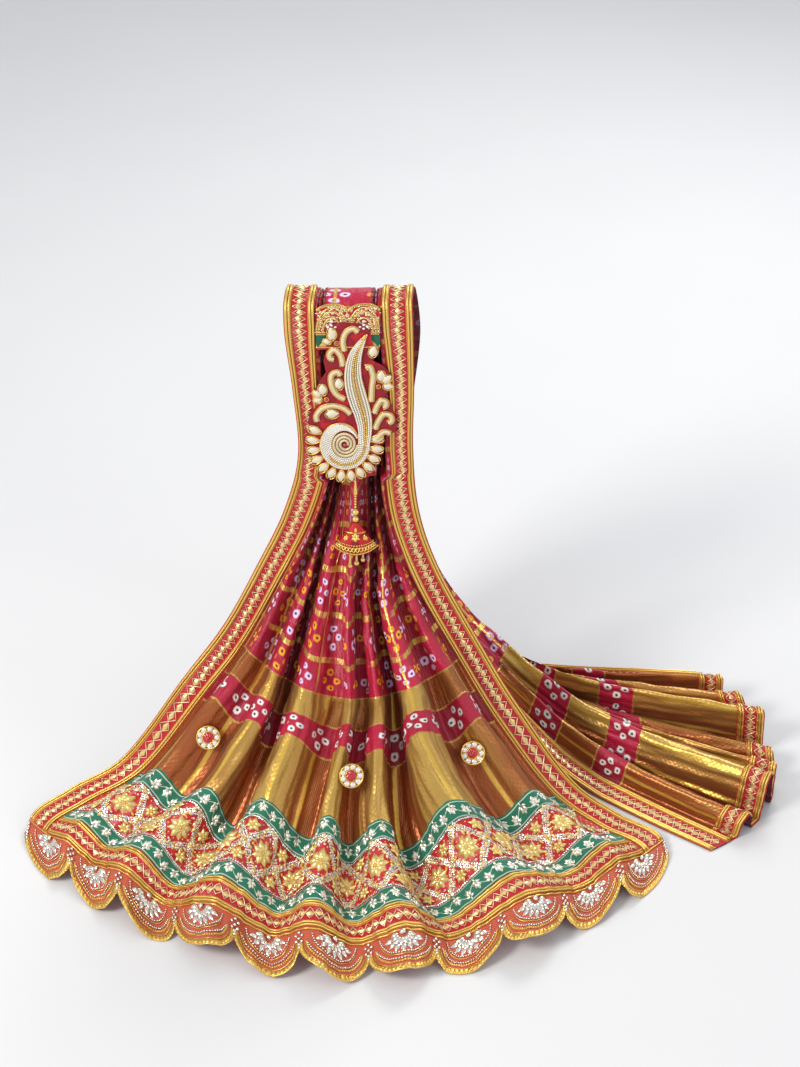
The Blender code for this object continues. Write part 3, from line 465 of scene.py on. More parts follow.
def make_piece(name: str, shape: Shape, finish: Finish, uv: np.ndarray | None = None, weld: bool = False,
               flat: bool = False) -> Piece:
    """Put points and quads into a mesh object that rides on the cloth's body.

    Args:
        name: the piece's name.
        shape: points in metres, and rows of four point numbers.
        finish: what it is made of.
        uv: one (u, v) for each point, in metres on the cloth.
        weld: merge points that meet, as at poles.
        flat: keep each facet flat, as on cut stones and foil.

    Returns:
        The object.
    """
    mesh = bpy.data.meshes.new(name)
    points, faces = np.ascontiguousarray(shape[0].reshape(-1, 3), float), np.ascontiguousarray(shape[1], int)
    mesh.vertices.add(len(points))
    mesh.vertices.foreach_set("co", points.ravel())
    mesh.loops.add(faces.size)
    mesh.loops.foreach_set("vertex_index", faces.ravel())
    mesh.polygons.add(len(faces))
    mesh.polygons.foreach_set("loop_start", np.arange(len(faces)) * faces.shape[1])
    if uv is not None:
        layer = mesh.uv_layers.new(name="cloth")
        layer.data.foreach_set("uv", uv.reshape(-1, 2)[faces.ravel()].ravel())
    mesh.update(calc_edges=True)
    if weld:
        work = bmesh.new()
        work.from_mesh(mesh)
        bmesh.ops.remove_doubles(work, verts=work.verts, dist=2e-6)
        bmesh.ops.recalc_face_normals(work, faces=work.faces)
        work.to_mesh(mesh)
        work.free()
    (mesh.shade_flat if flat else mesh.shade_smooth)()
    mesh.materials.append(finish.material())
    piece = link(name, mesh)
    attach(piece, "root")
    LOG.info("%s: %d points, %d faces", name, len(mesh.vertices), len(mesh.polygons))
    return piece


def turned(profile: Sequence[Span], sides: int) -> Shape:
    """A profile of (radius, height) carried round its axis.

    Args:
        profile: from the top down.
        sides: steps round.

    Returns:
        Points about the origin, and quads.
    """
    radius, height = np.array(profile, float).T
    angle = 2 * np.pi * np.arange(sides + 1) / sides
    points = np.stack([radius[:, None] * np.cos(angle), radius[:, None] * np.sin(angle),
                       np.repeat(height[:, None], sides + 1, 1)], 2)
    return points.reshape(-1, 3), grid_faces(len(radius), sides + 1)[:, ::-1]


def bead(flat: float = 1.0, sides: int = 6, rings: int = 4) -> Shape:
    """A ball of radius one standing on height zero, flattened by flat."""
    angle = np.pi * np.arange(rings + 1) / rings
    return turned([(math.sin(a), flat * (1 + math.cos(a))) for a in angle], sides)


def petal(length: float = 1.0, width: float = 0.36, rise: float = 0.25) -> Shape:
    """A domed petal that points along +x: width and height are half sines of its length."""
    u, v = np.meshgrid(np.linspace(0, 1, 6), np.linspace(-1, 1, 5), indexing="ij")
    lobe = np.sin(np.pi * np.clip(u, 0, 1) ** 0.8)
    x = length * (0.04 + 0.96 * u)
    return (np.stack([x, width * lobe * v, rise * lobe * (1 - v * v) * (0.6 + 0.4 * np.abs(v))],
                     2).reshape(-1, 3), grid_faces(6, 5))


def gem(wide: float = 0.68, long: float = 1.0, high: float = 0.30) -> Shape:
    """A four-sided foil diamond: a low pyramid on a rhombus."""
    points, faces = turned([(0.0, high), (1.0, 0.10), (1.0, 0.0)], 4)
    return points * (wide, long, 1.0), faces


def ring(radius: float, wire: float, sides: int = 16, around: int = 5) -> Shape:
    """A round wire bent into a ring that lies on height zero."""
    a, b = np.meshgrid(2 * np.pi * np.arange(sides + 1) / sides, 2 * np.pi * np.arange(around + 1) / around,
                       indexing="ij")
    r = radius + wire * np.cos(b)
    return (np.stack([r * np.cos(a), r * np.sin(a), wire * (1 + np.sin(b))], 2).reshape(-1, 3),
            grid_faces(sides + 1, around + 1))


def arc(low: float, high: float, count: int) -> np.ndarray:
    """Even angles in radians, from low to high degrees."""
    return np.radians(np.linspace(low, high, count))


def ellipse(x: object, y: object, wide: object, deep: object, angle: np.ndarray) -> np.ndarray:
    """Places on an ellipse about (x, y)."""
    return pairs(x + wide * np.cos(angle), y + deep * np.sin(angle))


def pairs(a: object, b: object) -> np.ndarray:
    """Two measures side by side in the last axis, each spread to the other's size."""
    return np.stack(np.broadcast_arrays(a, b), -1)


def combine(parts: Sequence[Shape]) -> Shape:
    """Join several pairs of points and faces into one pair."""
    points, faces, first = [], [], 0
    for some, quads in parts:
        points.append(some.reshape(-1, 3))
        faces.append(quads + first)
        first += len(points[-1])
    return np.concatenate(points), np.concatenate(faces)


def scattered(ground: Ground, shape: Shape, spots: np.ndarray, size: np.ndarray | float,
              turn: np.ndarray | float = 0.0, height: float = 0.0) -> Shape:
    """Copies of a small shape laid on a ground.

    Args:
        ground: what they lie on.
        shape: points and faces about the origin.
        spots: (m, 2) places in the ground's measures.
        size: scale of each copy.
        turn: angle of each copy in radians.
        height: how far above the ground they start.

    Returns:
        Points and faces of them all.
    """
    spots = np.asarray(spots, float).reshape(-1, 2)
    size, turn = (np.broadcast_to(np.asarray(v, float), (len(spots),))[:, None] for v in (size, turn))
    x, y, z = shape[0].T
    a = spots[:, :1] + size * (x * np.cos(turn) - y * np.sin(turn))
    b = spots[:, 1:] + size * (x * np.sin(turn) + y * np.cos(turn))
    points = ground.place(a, b, size * z + height)
    faces = shape[1][None] + (np.arange(len(spots)) * len(shape[0]))[:, None, None]
    return points.reshape(-1, 3), faces.reshape(-1, 4)


def cord(ground: Ground, path: np.ndarray, radius: float, height: float, around: int = 6, twist: float = 0.0,
         squash: float = 1.0, ribs: float = 0.0) -> Shape:
    """A round cord laid along a path on a ground, with both ends rounded off and closed.

    A circle is carried along the path; with a twist, its radius swells in turns
    as a two-ply cord's does, and with ribs it swells in rings.

    Args:
        ground: what it lies on.
        path: (n, 2) places in the ground's measures.
        radius: of the cord.
        height: of its lower side above the ground.
        around: points round the circle.
        twist: length of one turn of the ply, or 0.
        squash: its height as a share of its width.
        ribs: length of one ring of a wound cord, or 0.

    Returns:
        Points and faces.
    """
    path = np.asarray(path, float)
    along = chords(path)
    tangent = unit(np.gradient(path, along, axis=0), 1e-12)
    side = pairs(-tangent[:, 1], tangent[:, 0])
    angle = 2 * np.pi * np.arange(around + 1) / around
    swell = np.full((len(path), around + 1), radius)
    if twist:
        swell = swell * (1 + 0.22 * np.cos(2 * (angle[None] - 2 * np.pi * along[:, None] / twist)))
    if ribs:
        swell = swell * (1 + 0.1 * np.cos(2 * np.pi * along / ribs))[:, None]
    end = np.clip(np.minimum(along, along[-1] - along) / radius, 0, 1)
    swell = swell * np.sqrt(end * (2 - end))[:, None]
    a = path[:, :1] + side[:, :1] * swell * np.cos(angle)
    b = path[:, 1:] + side[:, 1:] * swell * np.cos(angle)
    h = height + squash * (radius + swell * np.sin(angle))
    return ground.place(a, b, h).reshape(-1, 3), grid_faces(len(path), around + 1)


def along_path(path: np.ndarray, gap: float) -> np.ndarray:
    """Places every gap along a path."""
    path = np.asarray(path, float)
    length = chords(path)
    count = max(2, int(round(length[-1] / gap)) + 1)
    at = np.linspace(0, length[-1], count)
    return np.stack([np.interp(at, length, path[:, k]) for k in (0, 1)], 1)


def smooth_path(knots: Sequence[Span], count: int = 40) -> np.ndarray:
    """A smooth curve through a few knots (cubic through their chord lengths)."""
    knots = np.array(knots, float)
    place = chords(knots)
    at = np.linspace(0, place[-1], count)
    return np.stack([through(place, knots[:, k], at) for k in (0, 1)], 1)


def sew(name: str, finish: Finish, *parts: Shape, weld: bool = True, flat: bool = False) -> Piece:
    """One piece from several shapes."""
    return make_piece(name, combine(parts), finish, weld=weld, flat=flat)


def strew(name: str, finish: Finish, ground: Ground, *rows: tuple, weld: bool = True,
          flat: bool = False) -> Piece:
    """One piece from rows of what scattered takes: shape, spots, size, turn and height."""
    return sew(name, finish, *(scattered(ground, *row) for row in rows), weld=weld, flat=flat)


def carry(piece: Piece, name: str, values: np.ndarray) -> None:
    """Give the piece's mesh a number at each point."""
    piece.data.attributes.new(name, "FLOAT", "POINT").data.foreach_set("value", values.ravel())


# ------------------------------------------------------------------ finishes
@dataclass(frozen=True)
class Value:
    """A socket's output that can be reckoned with: each operation becomes one Math node."""

    loom: Loom
    socket: Socket

    def __add__(self, other: object) -> Value:
        """The sum of the two."""
        return self.loom.math("ADD", self, other)

    def __sub__(self, other: object) -> Value:
        """This less the other."""
        return self.loom.math("SUBTRACT", self, other)

    def __rsub__(self, other: object) -> Value:
        """The other less this."""
        return self.loom.math("SUBTRACT", other, self)

    def __mul__(self, other: object) -> Value:
        """The product of the two."""
        return self.loom.math("MULTIPLY", self, other)

    def __truediv__(self, other: object) -> Value:
        """This divided by the other."""
        return self.loom.math("DIVIDE", self, other)

    def __mod__(self, other: object) -> Value:
        """What is left of this after whole others."""
        return self.loom.math("MODULO", self, other)

    def __gt__(self, other: object) -> Value:
        """1 where this is greater, or else 0."""
        return self.loom.math("GREATER_THAN", self, other)

    def __abs__(self) -> Value:
        """This without its sign."""
        return self.loom.math("ABSOLUTE", self)


@dataclass(frozen=True)
class Loom:
    """A small calculator over the sockets of one shader node tree."""

    tree: bpy.types.NodeTree

    def put(self, target: Socket, value: object) -> None:
        """Link a value to the target, or set the target to a number or a colour."""
        if isinstance(value, Value):
            self.tree.links.new(value.socket, target)
        else:
            target.default_value = value.rgba if isinstance(value, Colour) else value

    def shade(self, name: str, value: object) -> None:
        """Feed one input of the tree's shader."""
        self.put(self.tree.nodes["Principled BSDF"].inputs[name], value)

    def node(self, kind: str, inputs: dict, out: int | str = 0, **settings: object) -> Value:
        """Make one node.

        Args:
            kind: the end of its type's name.
            inputs: what goes into each input.
            out: the wanted output.
            settings: the node's own properties.

        Returns:
            The output's value.
        """
        node = self.tree.nodes.new("ShaderNode" + kind)
        for name, setting in settings.items():
            setattr(node, name, setting)
        for name, value in inputs.items():
            self.put(node.inputs[name], value)
        return Value(self, node.outputs[out])

    def math(self, kind: str, *values: object) -> Value:
        """One Math node of the given operation."""
        return self.node("Math", dict(enumerate(values)), operation=kind)

    def ramp(self, value: object, low: float, high: float, start: float = 0.0, end: float = 1.0) -> Value:
        """Smooth climb from start at low to end at high."""
        ends = {"From Min": low, "From Max": high, "To Min": start, "To Max": end}
        return self.node("MapRange", {"Value": value, **ends}, interpolation_type="SMOOTHSTEP")

    def within(self, value: object, reach: float, soft: float = 0.0006) -> Value:
        """Mask that is 1 where the size of value is under reach, with a soft edge."""
        return self.ramp(abs(value), reach - soft, reach + soft, 1.0, 0.0)

    def zone(self, value: object, low: float, high: float, soft: float = 0.0004) -> Value:
        """Mask that is 1 between low and high."""
        return self.within(value - (low + high) / 2, (high - low) / 2, soft)

    def repeat(self, value: object, pitch: float, shift: float = 0.0) -> Value:
        """Distance from the nearest of the lines that stand every pitch, from minus to plus half a pitch."""
        return (value + (pitch * 1000.5 - shift)) % pitch - pitch / 2

    def cell(self, value: object, pitch: float, shift: float = 0.0) -> Value:
        """Number of the cell between two of the lines that stand every pitch."""
        return self.math("FLOOR", (value + (pitch * 1000.5 - shift)) / pitch)

    def measured(self, name: str) -> Value:
        """A number that the mesh carries at each point."""
        return self.node("Attribute", {}, "Fac", attribute_name=name)

    def stretched(self, where: object, scale: Triple) -> Value:
        """A vector stretched along its axes."""
        return self.node("Mapping", {"Scale": scale, "Vector": where})

    def paint(self, mask: object, under: object, over: object) -> Value:
        """Mix of two colours by a mask."""
        return self.node("Mix", {0: mask, 6: under, 7: over}, 2, data_type="RGBA")

    def any(self, *masks: object) -> Value:
        """The greatest of several masks."""
        return reduce(lambda best, mask: self.math("MAXIMUM", best, mask), masks)

    def noise(self, where: object, scale: object, detail: float = 3.0, rough: float = 0.55) -> Value:
        """Value of a noise texture."""
        return self.node("TexNoise", {"Scale": scale, "Detail": detail, "Roughness": rough, "Vector": where})

    def axes(self, where: Value) -> tuple[Value, Value, Value]:
        """The three parts of a vector."""
        node = self.node("SeparateXYZ", {0: where}).socket.node
        return tuple(Value(self, socket) for socket in node.outputs)

    def places(self) -> tuple[Value, Value, Value]:
        """The cloth's measures across and along from its UV map, and both as a vector."""
        where = self.node("UVMap", {}, uv_map="cloth")
        return (*self.axes(where)[:2], where)

    def object_place(self) -> Value:
        """Object coordinates, in metres."""
        return self.node("TexCoord", {}, "Object")


def weave_group() -> bpy.types.NodeTree:
    """Node group shared by all cloths: slubs and threads of a weave from a vector in metres.

    Returns:
        The group: its output Height rises on threads, Tone wanders slowly about 0.5.
    """
    made = bpy.data.node_groups.get("silk weave")
    if made is not None:
        return made
    made = bpy.data.node_groups.new("silk weave", "ShaderNodeTree")
    made.interface.new_socket("Vector", in_out="INPUT", socket_type="NodeSocketVector")
    for name, value in (("Thread", 900.0), ("Slub", 90.0)):
        made.interface.new_socket(name, in_out="INPUT", socket_type="NodeSocketFloat").default_value = value
    for name in ("Height", "Tone"):
        made.interface.new_socket(name, in_out="OUTPUT", socket_type="NodeSocketFloat")
    enter, leave = made.nodes.new("NodeGroupInput"), made.nodes.new("NodeGroupOutput")
    loom = Loom(made)
    where, threads, slubs = (Value(loom, enter.outputs[name]) for name in ("Vector", "Thread", "Slub"))
    warp, weft = (loom.math("SINE", axis * threads) for axis in loom.axes(where)[:2])
    slub = loom.noise(loom.stretched(where, (1.0, 0.12, 1.0)), slubs, 4.0, 0.5)
    thread = (warp * weft + 1.0) * 0.25
    tone = loom.noise(where, 9.0, 2.0)
    loom.put(leave.inputs["Height"], thread + slub * 0.7)
    loom.put(leave.inputs["Tone"], slub * 0.5 + tone * 0.5)
    return made


@dataclass(frozen=True)
class Finish:
    """A finish: its name, a slot that is not used, and the numbers set on the shader itself."""

    name: str
    slot: str
    rough: float = 0.45
    metallic: float = 0.0
    sheen: float = 0.0
    coat: float = 0.0
    bump: float = 0.0

    def material(self) -> bpy.types.Material:
        """The finish's material, made once."""
        made = bpy.data.materials.get(self.name)
        if made is None:
            made = bpy.data.materials.new(self.name)
            made.use_nodes = True
            loom = Loom(made.node_tree)
            for socket, value in (("Roughness", self.rough), ("Metallic", self.metallic),
                                  ("Sheen Weight", self.sheen), ("Coat Weight", self.coat)):
                loom.shade(socket, value)
            self.dress(loom)
        return made

    def dress(self, loom: Loom) -> None:
        """Build the nodes that vary over the surface."""
        raise NotImplementedError

    def weave(self, loom: Loom, where: object, slub: float = 90.0) -> tuple[Value, Value]:
        """Place the shared weave group and return its Height and Tone."""
        height = loom.node("Group", {}, node_tree=weave_group())
        group = height.socket.node
        for name, value in (("Vector", where), ("Slub", slub)):
            loom.put(group.inputs[name], value)
        return height, Value(loom, group.outputs["Tone"])

    def raise_with(self, loom: Loom, height: object, distance: float) -> None:
        """Feed a height to the shader's normal."""
        bump = loom.node("Bump", {"Strength": self.bump, "Distance": distance, "Height": height})
        loom.shade("Normal", bump)


@dataclass(frozen=True)
class Plain(Finish):
    """Metal thread, pearl or stone of one colour that wanders a little."""

    colour: Colour = Colour.ZARI
    second: Colour = Colour.PALE_ZARI
    grain: float = 400.0

    def dress(self, loom: Loom) -> None:
        """Two near colours mixed by noise, with a fine bump."""
        where = loom.object_place()
        noise = loom.noise(where, self.grain, 2.0)
        loom.shade("Base Color", loom.paint(noise, self.colour, self.second))
        if self.bump:
            self.raise_with(loom, loom.noise(where, self.grain * 2.2, 2.0), 0.0006)


@dataclass(frozen=True)
class TiedSilk(Finish):
    """The dyed silk: checks of gold, squares of tied dots, and woven gold ends."""

    cell: float = 0.0575
    dot: float = 0.0060
    eye: float = 0.0021
    spread: float = 0.0125
    first_post: float = 0.0415
    first_line: float = 0.413
    checked: Span = (0.360, 1.78)
    band_half: float = 0.0245
    woven_lines: tuple = (0.256, 0.306, 0.358, 1.782, 1.845, 1.895, 1.960, 2.010)
    bands: tuple = (0.281, 1.870, 1.985)
    tissues: tuple = ((0.150, 0.256), (0.306, 0.358), (1.780, 1.845), (1.895, 1.960), (2.010, 2.165))

    def knots(self, loom: Loom, x: object, y: object, ease: object) -> tuple[Value, Value]:
        """Four square rings where the cloth was tied, a spread away from a cell's middle: rings and eyes.

        Where the cloth is drawn together, its square root of ease widens a ring
        across the cloth and shortens it along, so that it still looks square.
        """
        x, y = abs(x), abs(y)
        reaches = []
        for over, up in ((self.spread, 0.0), (0.0, self.spread)):
            a = abs(x - over) * ease
            b = abs(y - up) / ease
            reaches.append(loom.math("MAXIMUM", a, b) + loom.math("MINIMUM", a, b) * 0.3)
        reach = loom.math("MINIMUM", *reaches)
        return loom.within(reach, self.dot, 0.0011), loom.within(reach, self.eye, 0.0009)

    def tissue(self, loom: Loom, u: Value, where: Value) -> Value:
        """Shot tissue with painted shade and painted light: copper painted in the fold valleys, gold on the
        crests, with bright woven stripes.
        """
        streak = loom.noise(loom.stretched(where, (1.0, 0.12, 1.0)), 48.0, 2.0)
        # Painted shade and painted light: the fold height, with a random streak, paints copper in the valleys
        # and gold on the crests.
        high = loom.measured("fold") + streak * 0.9
        shaded_tissue = loom.paint(loom.ramp(high, 0.74, 1.4), Colour.COPPER, Colour.TISSUE)
        rib = loom.within(loom.repeat(u, 0.0024), 0.0006, 0.0004)
        shaded_tissue = loom.paint(rib * 0.22, shaded_tissue, Colour.ZARI)
        post = loom.within(loom.repeat(u, self.cell, self.first_post + self.cell / 2), 0.0032, 0.001)
        return loom.paint(post * 0.75, shaded_tissue, Colour.STRIPE)

    def dress(self, loom: Loom) -> None:
        """Lay out the cloth from its hem to its tail."""
        u, v, where = loom.places()
        height, tone = self.weave(loom, where)
        sway = (loom.noise(where, 26.0, 2.0) - 0.5) * 0.011
        drift = (loom.noise(where, 31.0, 2.0) - 0.5) * 0.011
        us, vs = u + sway, v + drift
        side, start = self.first_post + self.cell / 2, self.first_line + self.cell / 2
        gold = loom.paint(tone, Colour.ZARI, Colour.TISSUE)
        # Painted shade and painted light: the silk is crimson in its fold valleys and magenta on its crests,
        # by fold height with a random tone.
        deep = loom.ramp(loom.measured("fold") + tone * 0.6, 0.2, 1.0)
        silk = loom.paint(deep, Colour.CRIMSON, Colour.MAGENTA)
        ease = loom.math("SQRT", loom.measured("gather"))
        ring, eye = self.knots(loom, loom.repeat(us, self.cell, side), loom.repeat(vs, self.cell, start),
                               ease)
        field_zone = loom.zone(v, *self.checked, 0.002)
        odd = (loom.cell(us, self.cell, side) + loom.cell(vs, self.cell, start)) % 2.0
        dye = loom.paint(odd, Colour.LAVENDER, Colour.MARIGOLD)
        field_ring, field_eye = ring * field_zone, eye * field_zone
        silk = loom.paint(field_eye, loom.paint(field_ring, silk, dye), Colour.WINE)
        lines = loom.within(loom.repeat(v, self.cell, self.first_line), 0.0038)
        posts = loom.within(loom.repeat(u, 1.5 * self.cell, self.first_post), 0.0019)
        worn = loom.ramp(loom.noise(where, 19.0, 2.0), 0.4, 0.52)
        checks = loom.any(lines * worn, posts) * field_zone
        silk = loom.paint(checks, silk, gold)
        tissue = loom.any(*(loom.zone(v, low, high) for low, high in self.tissues))
        silk = loom.paint(tissue, silk, self.tissue(loom, u, where))
        band_y = vs - self.bands[0]
        for middle in self.bands[1:]:
            other = vs - middle
            later = v > middle - 0.03
            band_y = band_y * (1.0 - later) + other * later
        half = self.band_half
        band = loom.any(*(loom.zone(v, middle - half, middle + half) for middle in self.bands))
        band_ring, band_eye = self.knots(loom, loom.repeat(us, self.cell, side), band_y, ease)
        # The tied bands get the same painted shade in the fold valleys and painted light on the crests, under
        # their white dyed rings.
        dyed = loom.paint(band_ring, loom.paint(deep, Colour.CRIMSON, Colour.MAGENTA), Colour.WHITE)
        dyed = loom.paint(band_eye, dyed, Colour.WINE)
        silk = loom.paint(band, silk, dyed)
        edges = loom.any(*(loom.within(v - place, 0.0012) for place in self.woven_lines))
        silk = loom.paint(edges, silk, gold)
        metal = loom.any(tissue * 0.55, checks * 0.6, edges * 0.6)
        # Painted shade: faces of the cloth seen from behind are painted dark wine and made non-metallic.
        back = loom.node("NewGeometry", {}, "Backfacing")
        silk = loom.paint(back * 0.78, silk, Colour.WINE)
        loom.shade("Base Color", silk)
        loom.shade("Metallic", metal * (1.0 - back))
        loom.shade("Roughness", 0.5 - metal * 0.26)
        pucker = loom.noise(loom.stretched(where, (1.0, 0.4, 1.0)), 75.0, 3.0)
        pucker = pucker * (1.0 - tissue * 0.75)
        tied = loom.any(field_ring, band_ring * band)
        relief = height * 0.35 + tied * 0.9
        crease = loom.noise(loom.stretched(where, (1.0, 0.45, 1.0)), 27.0, 3.0)
        folds = pucker * 3.4 + crease * 7.0
        self.raise_with(loom, relief + folds, 0.0012)


@dataclass(frozen=True)
class GoldBraid(Finish):
    """Braid: gold woven edges and a red ground with a thin gold line down each side, u across and v along."""

    wide: float = 0.038

    def dress(self, loom: Loom) -> None:
        """Gold edges of slanting threads with painted shade in the sunken lines between them, red ground and
        piping.
        """
        u, v, where = loom.places()
        mid = u - self.wide / 2
        off = abs(mid)
        height, tone = self.weave(loom, where, 240.0)
        # Painted shade: the sunken lines between the slanting gold threads are painted dark old gold, where
        # the bump also dips.
        slant = loom.within(loom.repeat(v + off * 0.8, 0.0026), 0.0008, 0.0005)
        gold = loom.paint(slant, Colour.ZARI, Colour.OLD_GOLD)
        gold = loom.paint(tone * 0.4, gold, Colour.PALE_ZARI)
        line = loom.within(off - 0.0106, 0.0005)
        ground = loom.paint(line, loom.paint(tone, Colour.SCARLET, Colour.ROSE), Colour.PALE_ZARI)
        edge = 1.0 - loom.within(mid, 0.0118)
        piping = 1.0 - loom.within(mid, self.wide / 2 - 0.0014)
        colour = loom.paint(edge, ground, gold)
        colour = loom.paint(piping, colour, Colour.SCARLET)
        loom.shade("Base Color", colour)
        shine = loom.any(line, edge - piping) * 0.6
        loom.shade("Metallic", loom.math("MAXIMUM", shine, 0.0))
        self.raise_with(loom, height + slant * -1.2, 0.0009)


@dataclass(frozen=True)
class Velvet(Finish):
    """Emerald velvet that catches the light, with a waving silver stem and two silver edge lines."""

    wide: float = 0.027
    spray: float = 0.0172

    def dress(self, loom: Loom) -> None:
        """A pile of two greens, then the stem as a sine of the ribbon's length."""
        u, v, where = loom.places()
        height, tone = self.weave(loom, where, 320.0)
        pile = loom.paint(tone * 0.8, Colour.EMERALD, Colour.LEAF)
        middle = u - self.wide / 2
        stem = loom.within(middle - loom.math("SINE", v * (math.pi / self.spray)) * 0.0052, 0.0005)
        edge = loom.within(abs(middle) - (self.wide / 2 - 0.0022), 0.0005)
        stem = loom.any(stem, edge) * 0.8
        loom.shade("Base Color", loom.paint(stem, pile, Colour.SILVER))
        self.raise_with(loom, height, 0.0008)


@dataclass(frozen=True)
class RedBand(Finish):
    """The red satin under the sequin lattice, with tiny woven seeds."""

    def dress(self, loom: Loom) -> None:
        """Satin with seeds on a slanting grid."""
        u, v, where = loom.places()
        height, tone = self.weave(loom, where, 200.0)
        x, y = u + v, u - v
        seed = loom.within(loom.repeat(x, 0.0098), 0.0011) * loom.within(loom.repeat(y, 0.0098), 0.0011)
        colour = loom.paint(seed, loom.paint(tone, Colour.SCARLET, Colour.ROSE), Colour.PALE_ZARI)
        loom.shade("Base Color", colour)
        self.raise_with(loom, height, 0.0006)


@dataclass(frozen=True)
class BeadedNet(Finish):
    """Red net: fine holes shown as darker meshes between slanting threads."""

    def dress(self, loom: Loom) -> None:
        """A slanting mesh of threads over a deeper ground."""
        u, v, where = loom.places()
        x, y = u + v, u - v
        mesh = loom.any(loom.within(loom.repeat(x, 0.0034), 0.0005, 0.0003),
                        loom.within(loom.repeat(y, 0.0034), 0.0005, 0.0003))
        _, tone = self.weave(loom, where, 160.0)
        colour = loom.paint(mesh * 0.3, loom.paint(tone, Colour.NET, Colour.SCARLET), Colour.PALE_ZARI)
        loom.shade("Base Color", colour)
        self.raise_with(loom, mesh, 0.0006)


@dataclass(frozen=True)
class HeadGround(Finish):
    """The worked band's cloth: red above, a row of green velvet points on beige, and red piping below."""

    foot: float = 0.862
    split: float = 0.8865

    def dress(self, loom: Loom) -> None:
        """Red ground, then points from a triangle wave of the measure across."""
        u, v, where = loom.places()
        height, tone = self.weave(loom, where, 200.0)
        wave = abs(loom.repeat(u, 0.024))
        point = v > wave * -1.35 + (self.foot + 0.0205)
        low = loom.paint(point, loom.paint(tone, Colour.BEIGE, Colour.PALE_ZARI), Colour.EMERALD)
        low = loom.paint(loom.zone(v, self.foot - 0.01, self.foot + 0.0035), low, Colour.SCARLET)
        high = v > self.split
        colour = loom.paint(high, low, loom.paint(tone, Colour.SCARLET, Colour.ROSE))
        loom.shade("Base Color", colour)
        self.raise_with(loom, height, 0.0008)


@dataclass(frozen=True)
class WorkedGround(Finish):
    """Closely couched thread under the raised work, in rows of two near colours on object coordinates."""

    first: Colour = Colour.CRIMSON
    second: Colour = Colour.SCARLET
    pitch: float = 0.0030

    def dress(self, loom: Loom) -> None:
        """Slanting couched rows with patches of a second colour."""
        where = loom.object_place()
        x, _, z = loom.axes(where)
        slant = x + z
        row = loom.within(loom.repeat(slant, self.pitch), self.pitch * 0.32, self.pitch * 0.16)
        patch = loom.noise(where, 70.0, 1.0) > 0.56
        colour = loom.paint(patch, self.first, self.second)
        loom.shade("Base Color", loom.paint(row * 0.1, colour, Colour.ROSE))
        self.raise_with(loom, row, 0.001)


SILK = TiedSilk("tied silk", "silk", 0.5, sheen=0.06, bump=0.8)
BRAID = GoldBraid("gold braid", "braid", 0.38, bump=0.5)
VELVET = Velvet("emerald velvet", "emerald", 0.75, sheen=0.35, bump=0.4)
BAND = RedBand("red satin band", "lattice", 0.42, sheen=0.1, bump=0.3)
NET = BeadedNet("beaded net", "lace", 0.5, bump=0.5)
WORKED = WorkedGround("red patch velvet", "patch", 0.6, bump=0.4, first=Colour.CRIMSON, second=Colour.ROSE,
                      pitch=0.0016)
BELL = WorkedGround("couched red ground", "braid", 0.5, 0.05, bump=0.5, first=Colour.SCARLET,
                    second=Colour.CRIMSON, pitch=0.0022)
HEAD = HeadGround("worked band cloth", "lace", 0.5, bump=0.4)
ZARI = Plain("zari cord", "gold", 0.30, 0.9, bump=0.35)
ZARI_FLAT = Plain("zari discs", "lace", 0.34, 0.85, bump=0.25)
PLAIT = Plain("zari plait", "braid", 0.32, 0.75, bump=0.5, colour=Colour.ZARI, second=Colour.PALE_ZARI,
              grain=700.0)
FINE_ZARI = Plain("fine zari", "braid", 0.34, 0.7, colour=Colour.PALE_ZARI, second=Colour.SILVER, grain=500.0)
SEQUINS = Plain("cream sequins", "lace", 0.26, 0.7, colour=Colour.SILVER, second=Colour.PALE_ZARI,
                grain=350.0)
SILVER = Plain("silver sequins", "lattice", 0.24, 0.9, colour=Colour.SILVER, second=Colour.WHITE)
SILVER_LEAF = Plain("silver leaves", "emerald", 0.28, 0.85, colour=Colour.SILVER, second=Colour.PEARL,
                    bump=0.2)
GOTA = Plain("folded gota", "lattice", 0.32, 0.6, colour=Colour.GREEN_GOLD, second=Colour.PALE_ZARI,
             grain=260.0, bump=0.3)
DIAMOND = Plain("braid diamonds", "braid", 0.34, 0.6, colour=Colour.FOIL, second=Colour.PALE_ZARI, bump=0.2)
PEARLS = Plain("pearls", "pearl", 0.22, 0.05, coat=0.6, colour=Colour.PEARL, second=Colour.WHITE, grain=60.0)
STONES = Plain("clear stones", "jewel", 0.08, 0.35, coat=1.0, colour=Colour.WHITE, second=Colour.SILVER,
               grain=90.0)
ROSES = Plain("red enamel", "jewel", 0.22, 0.0, coat=0.8, colour=Colour.ROSE, second=Colour.SCARLET)
PINK_DOTS = Plain("pink seeds", "lattice", 0.4, 0.1, colour=Colour.LAVENDER, second=Colour.WHITE)
GOLD_PEARLS = Plain("gold pearls", "gold", 0.24, 0.55, coat=0.3, colour=Colour.GOLD_PEARL, second=Colour.ZARI,
                    grain=90.0)
CREAM = Plain("cream couching", "patch", 0.42, 0.3, bump=0.6, colour=Colour.CREAM, second=Colour.DULL_CREAM,
              grain=900.0)
RIBBED = Plain("ribbed scroll thread", "patch", 0.40, 0.45, bump=0.8, colour=Colour.RIB, second=Colour.CREAM,
               grain=800.0)
YELLOW_DOTS = Plain("yellow seeds", "lattice", 0.4, 0.2, colour=Colour.MARIGOLD, second=Colour.PALE_ZARI)


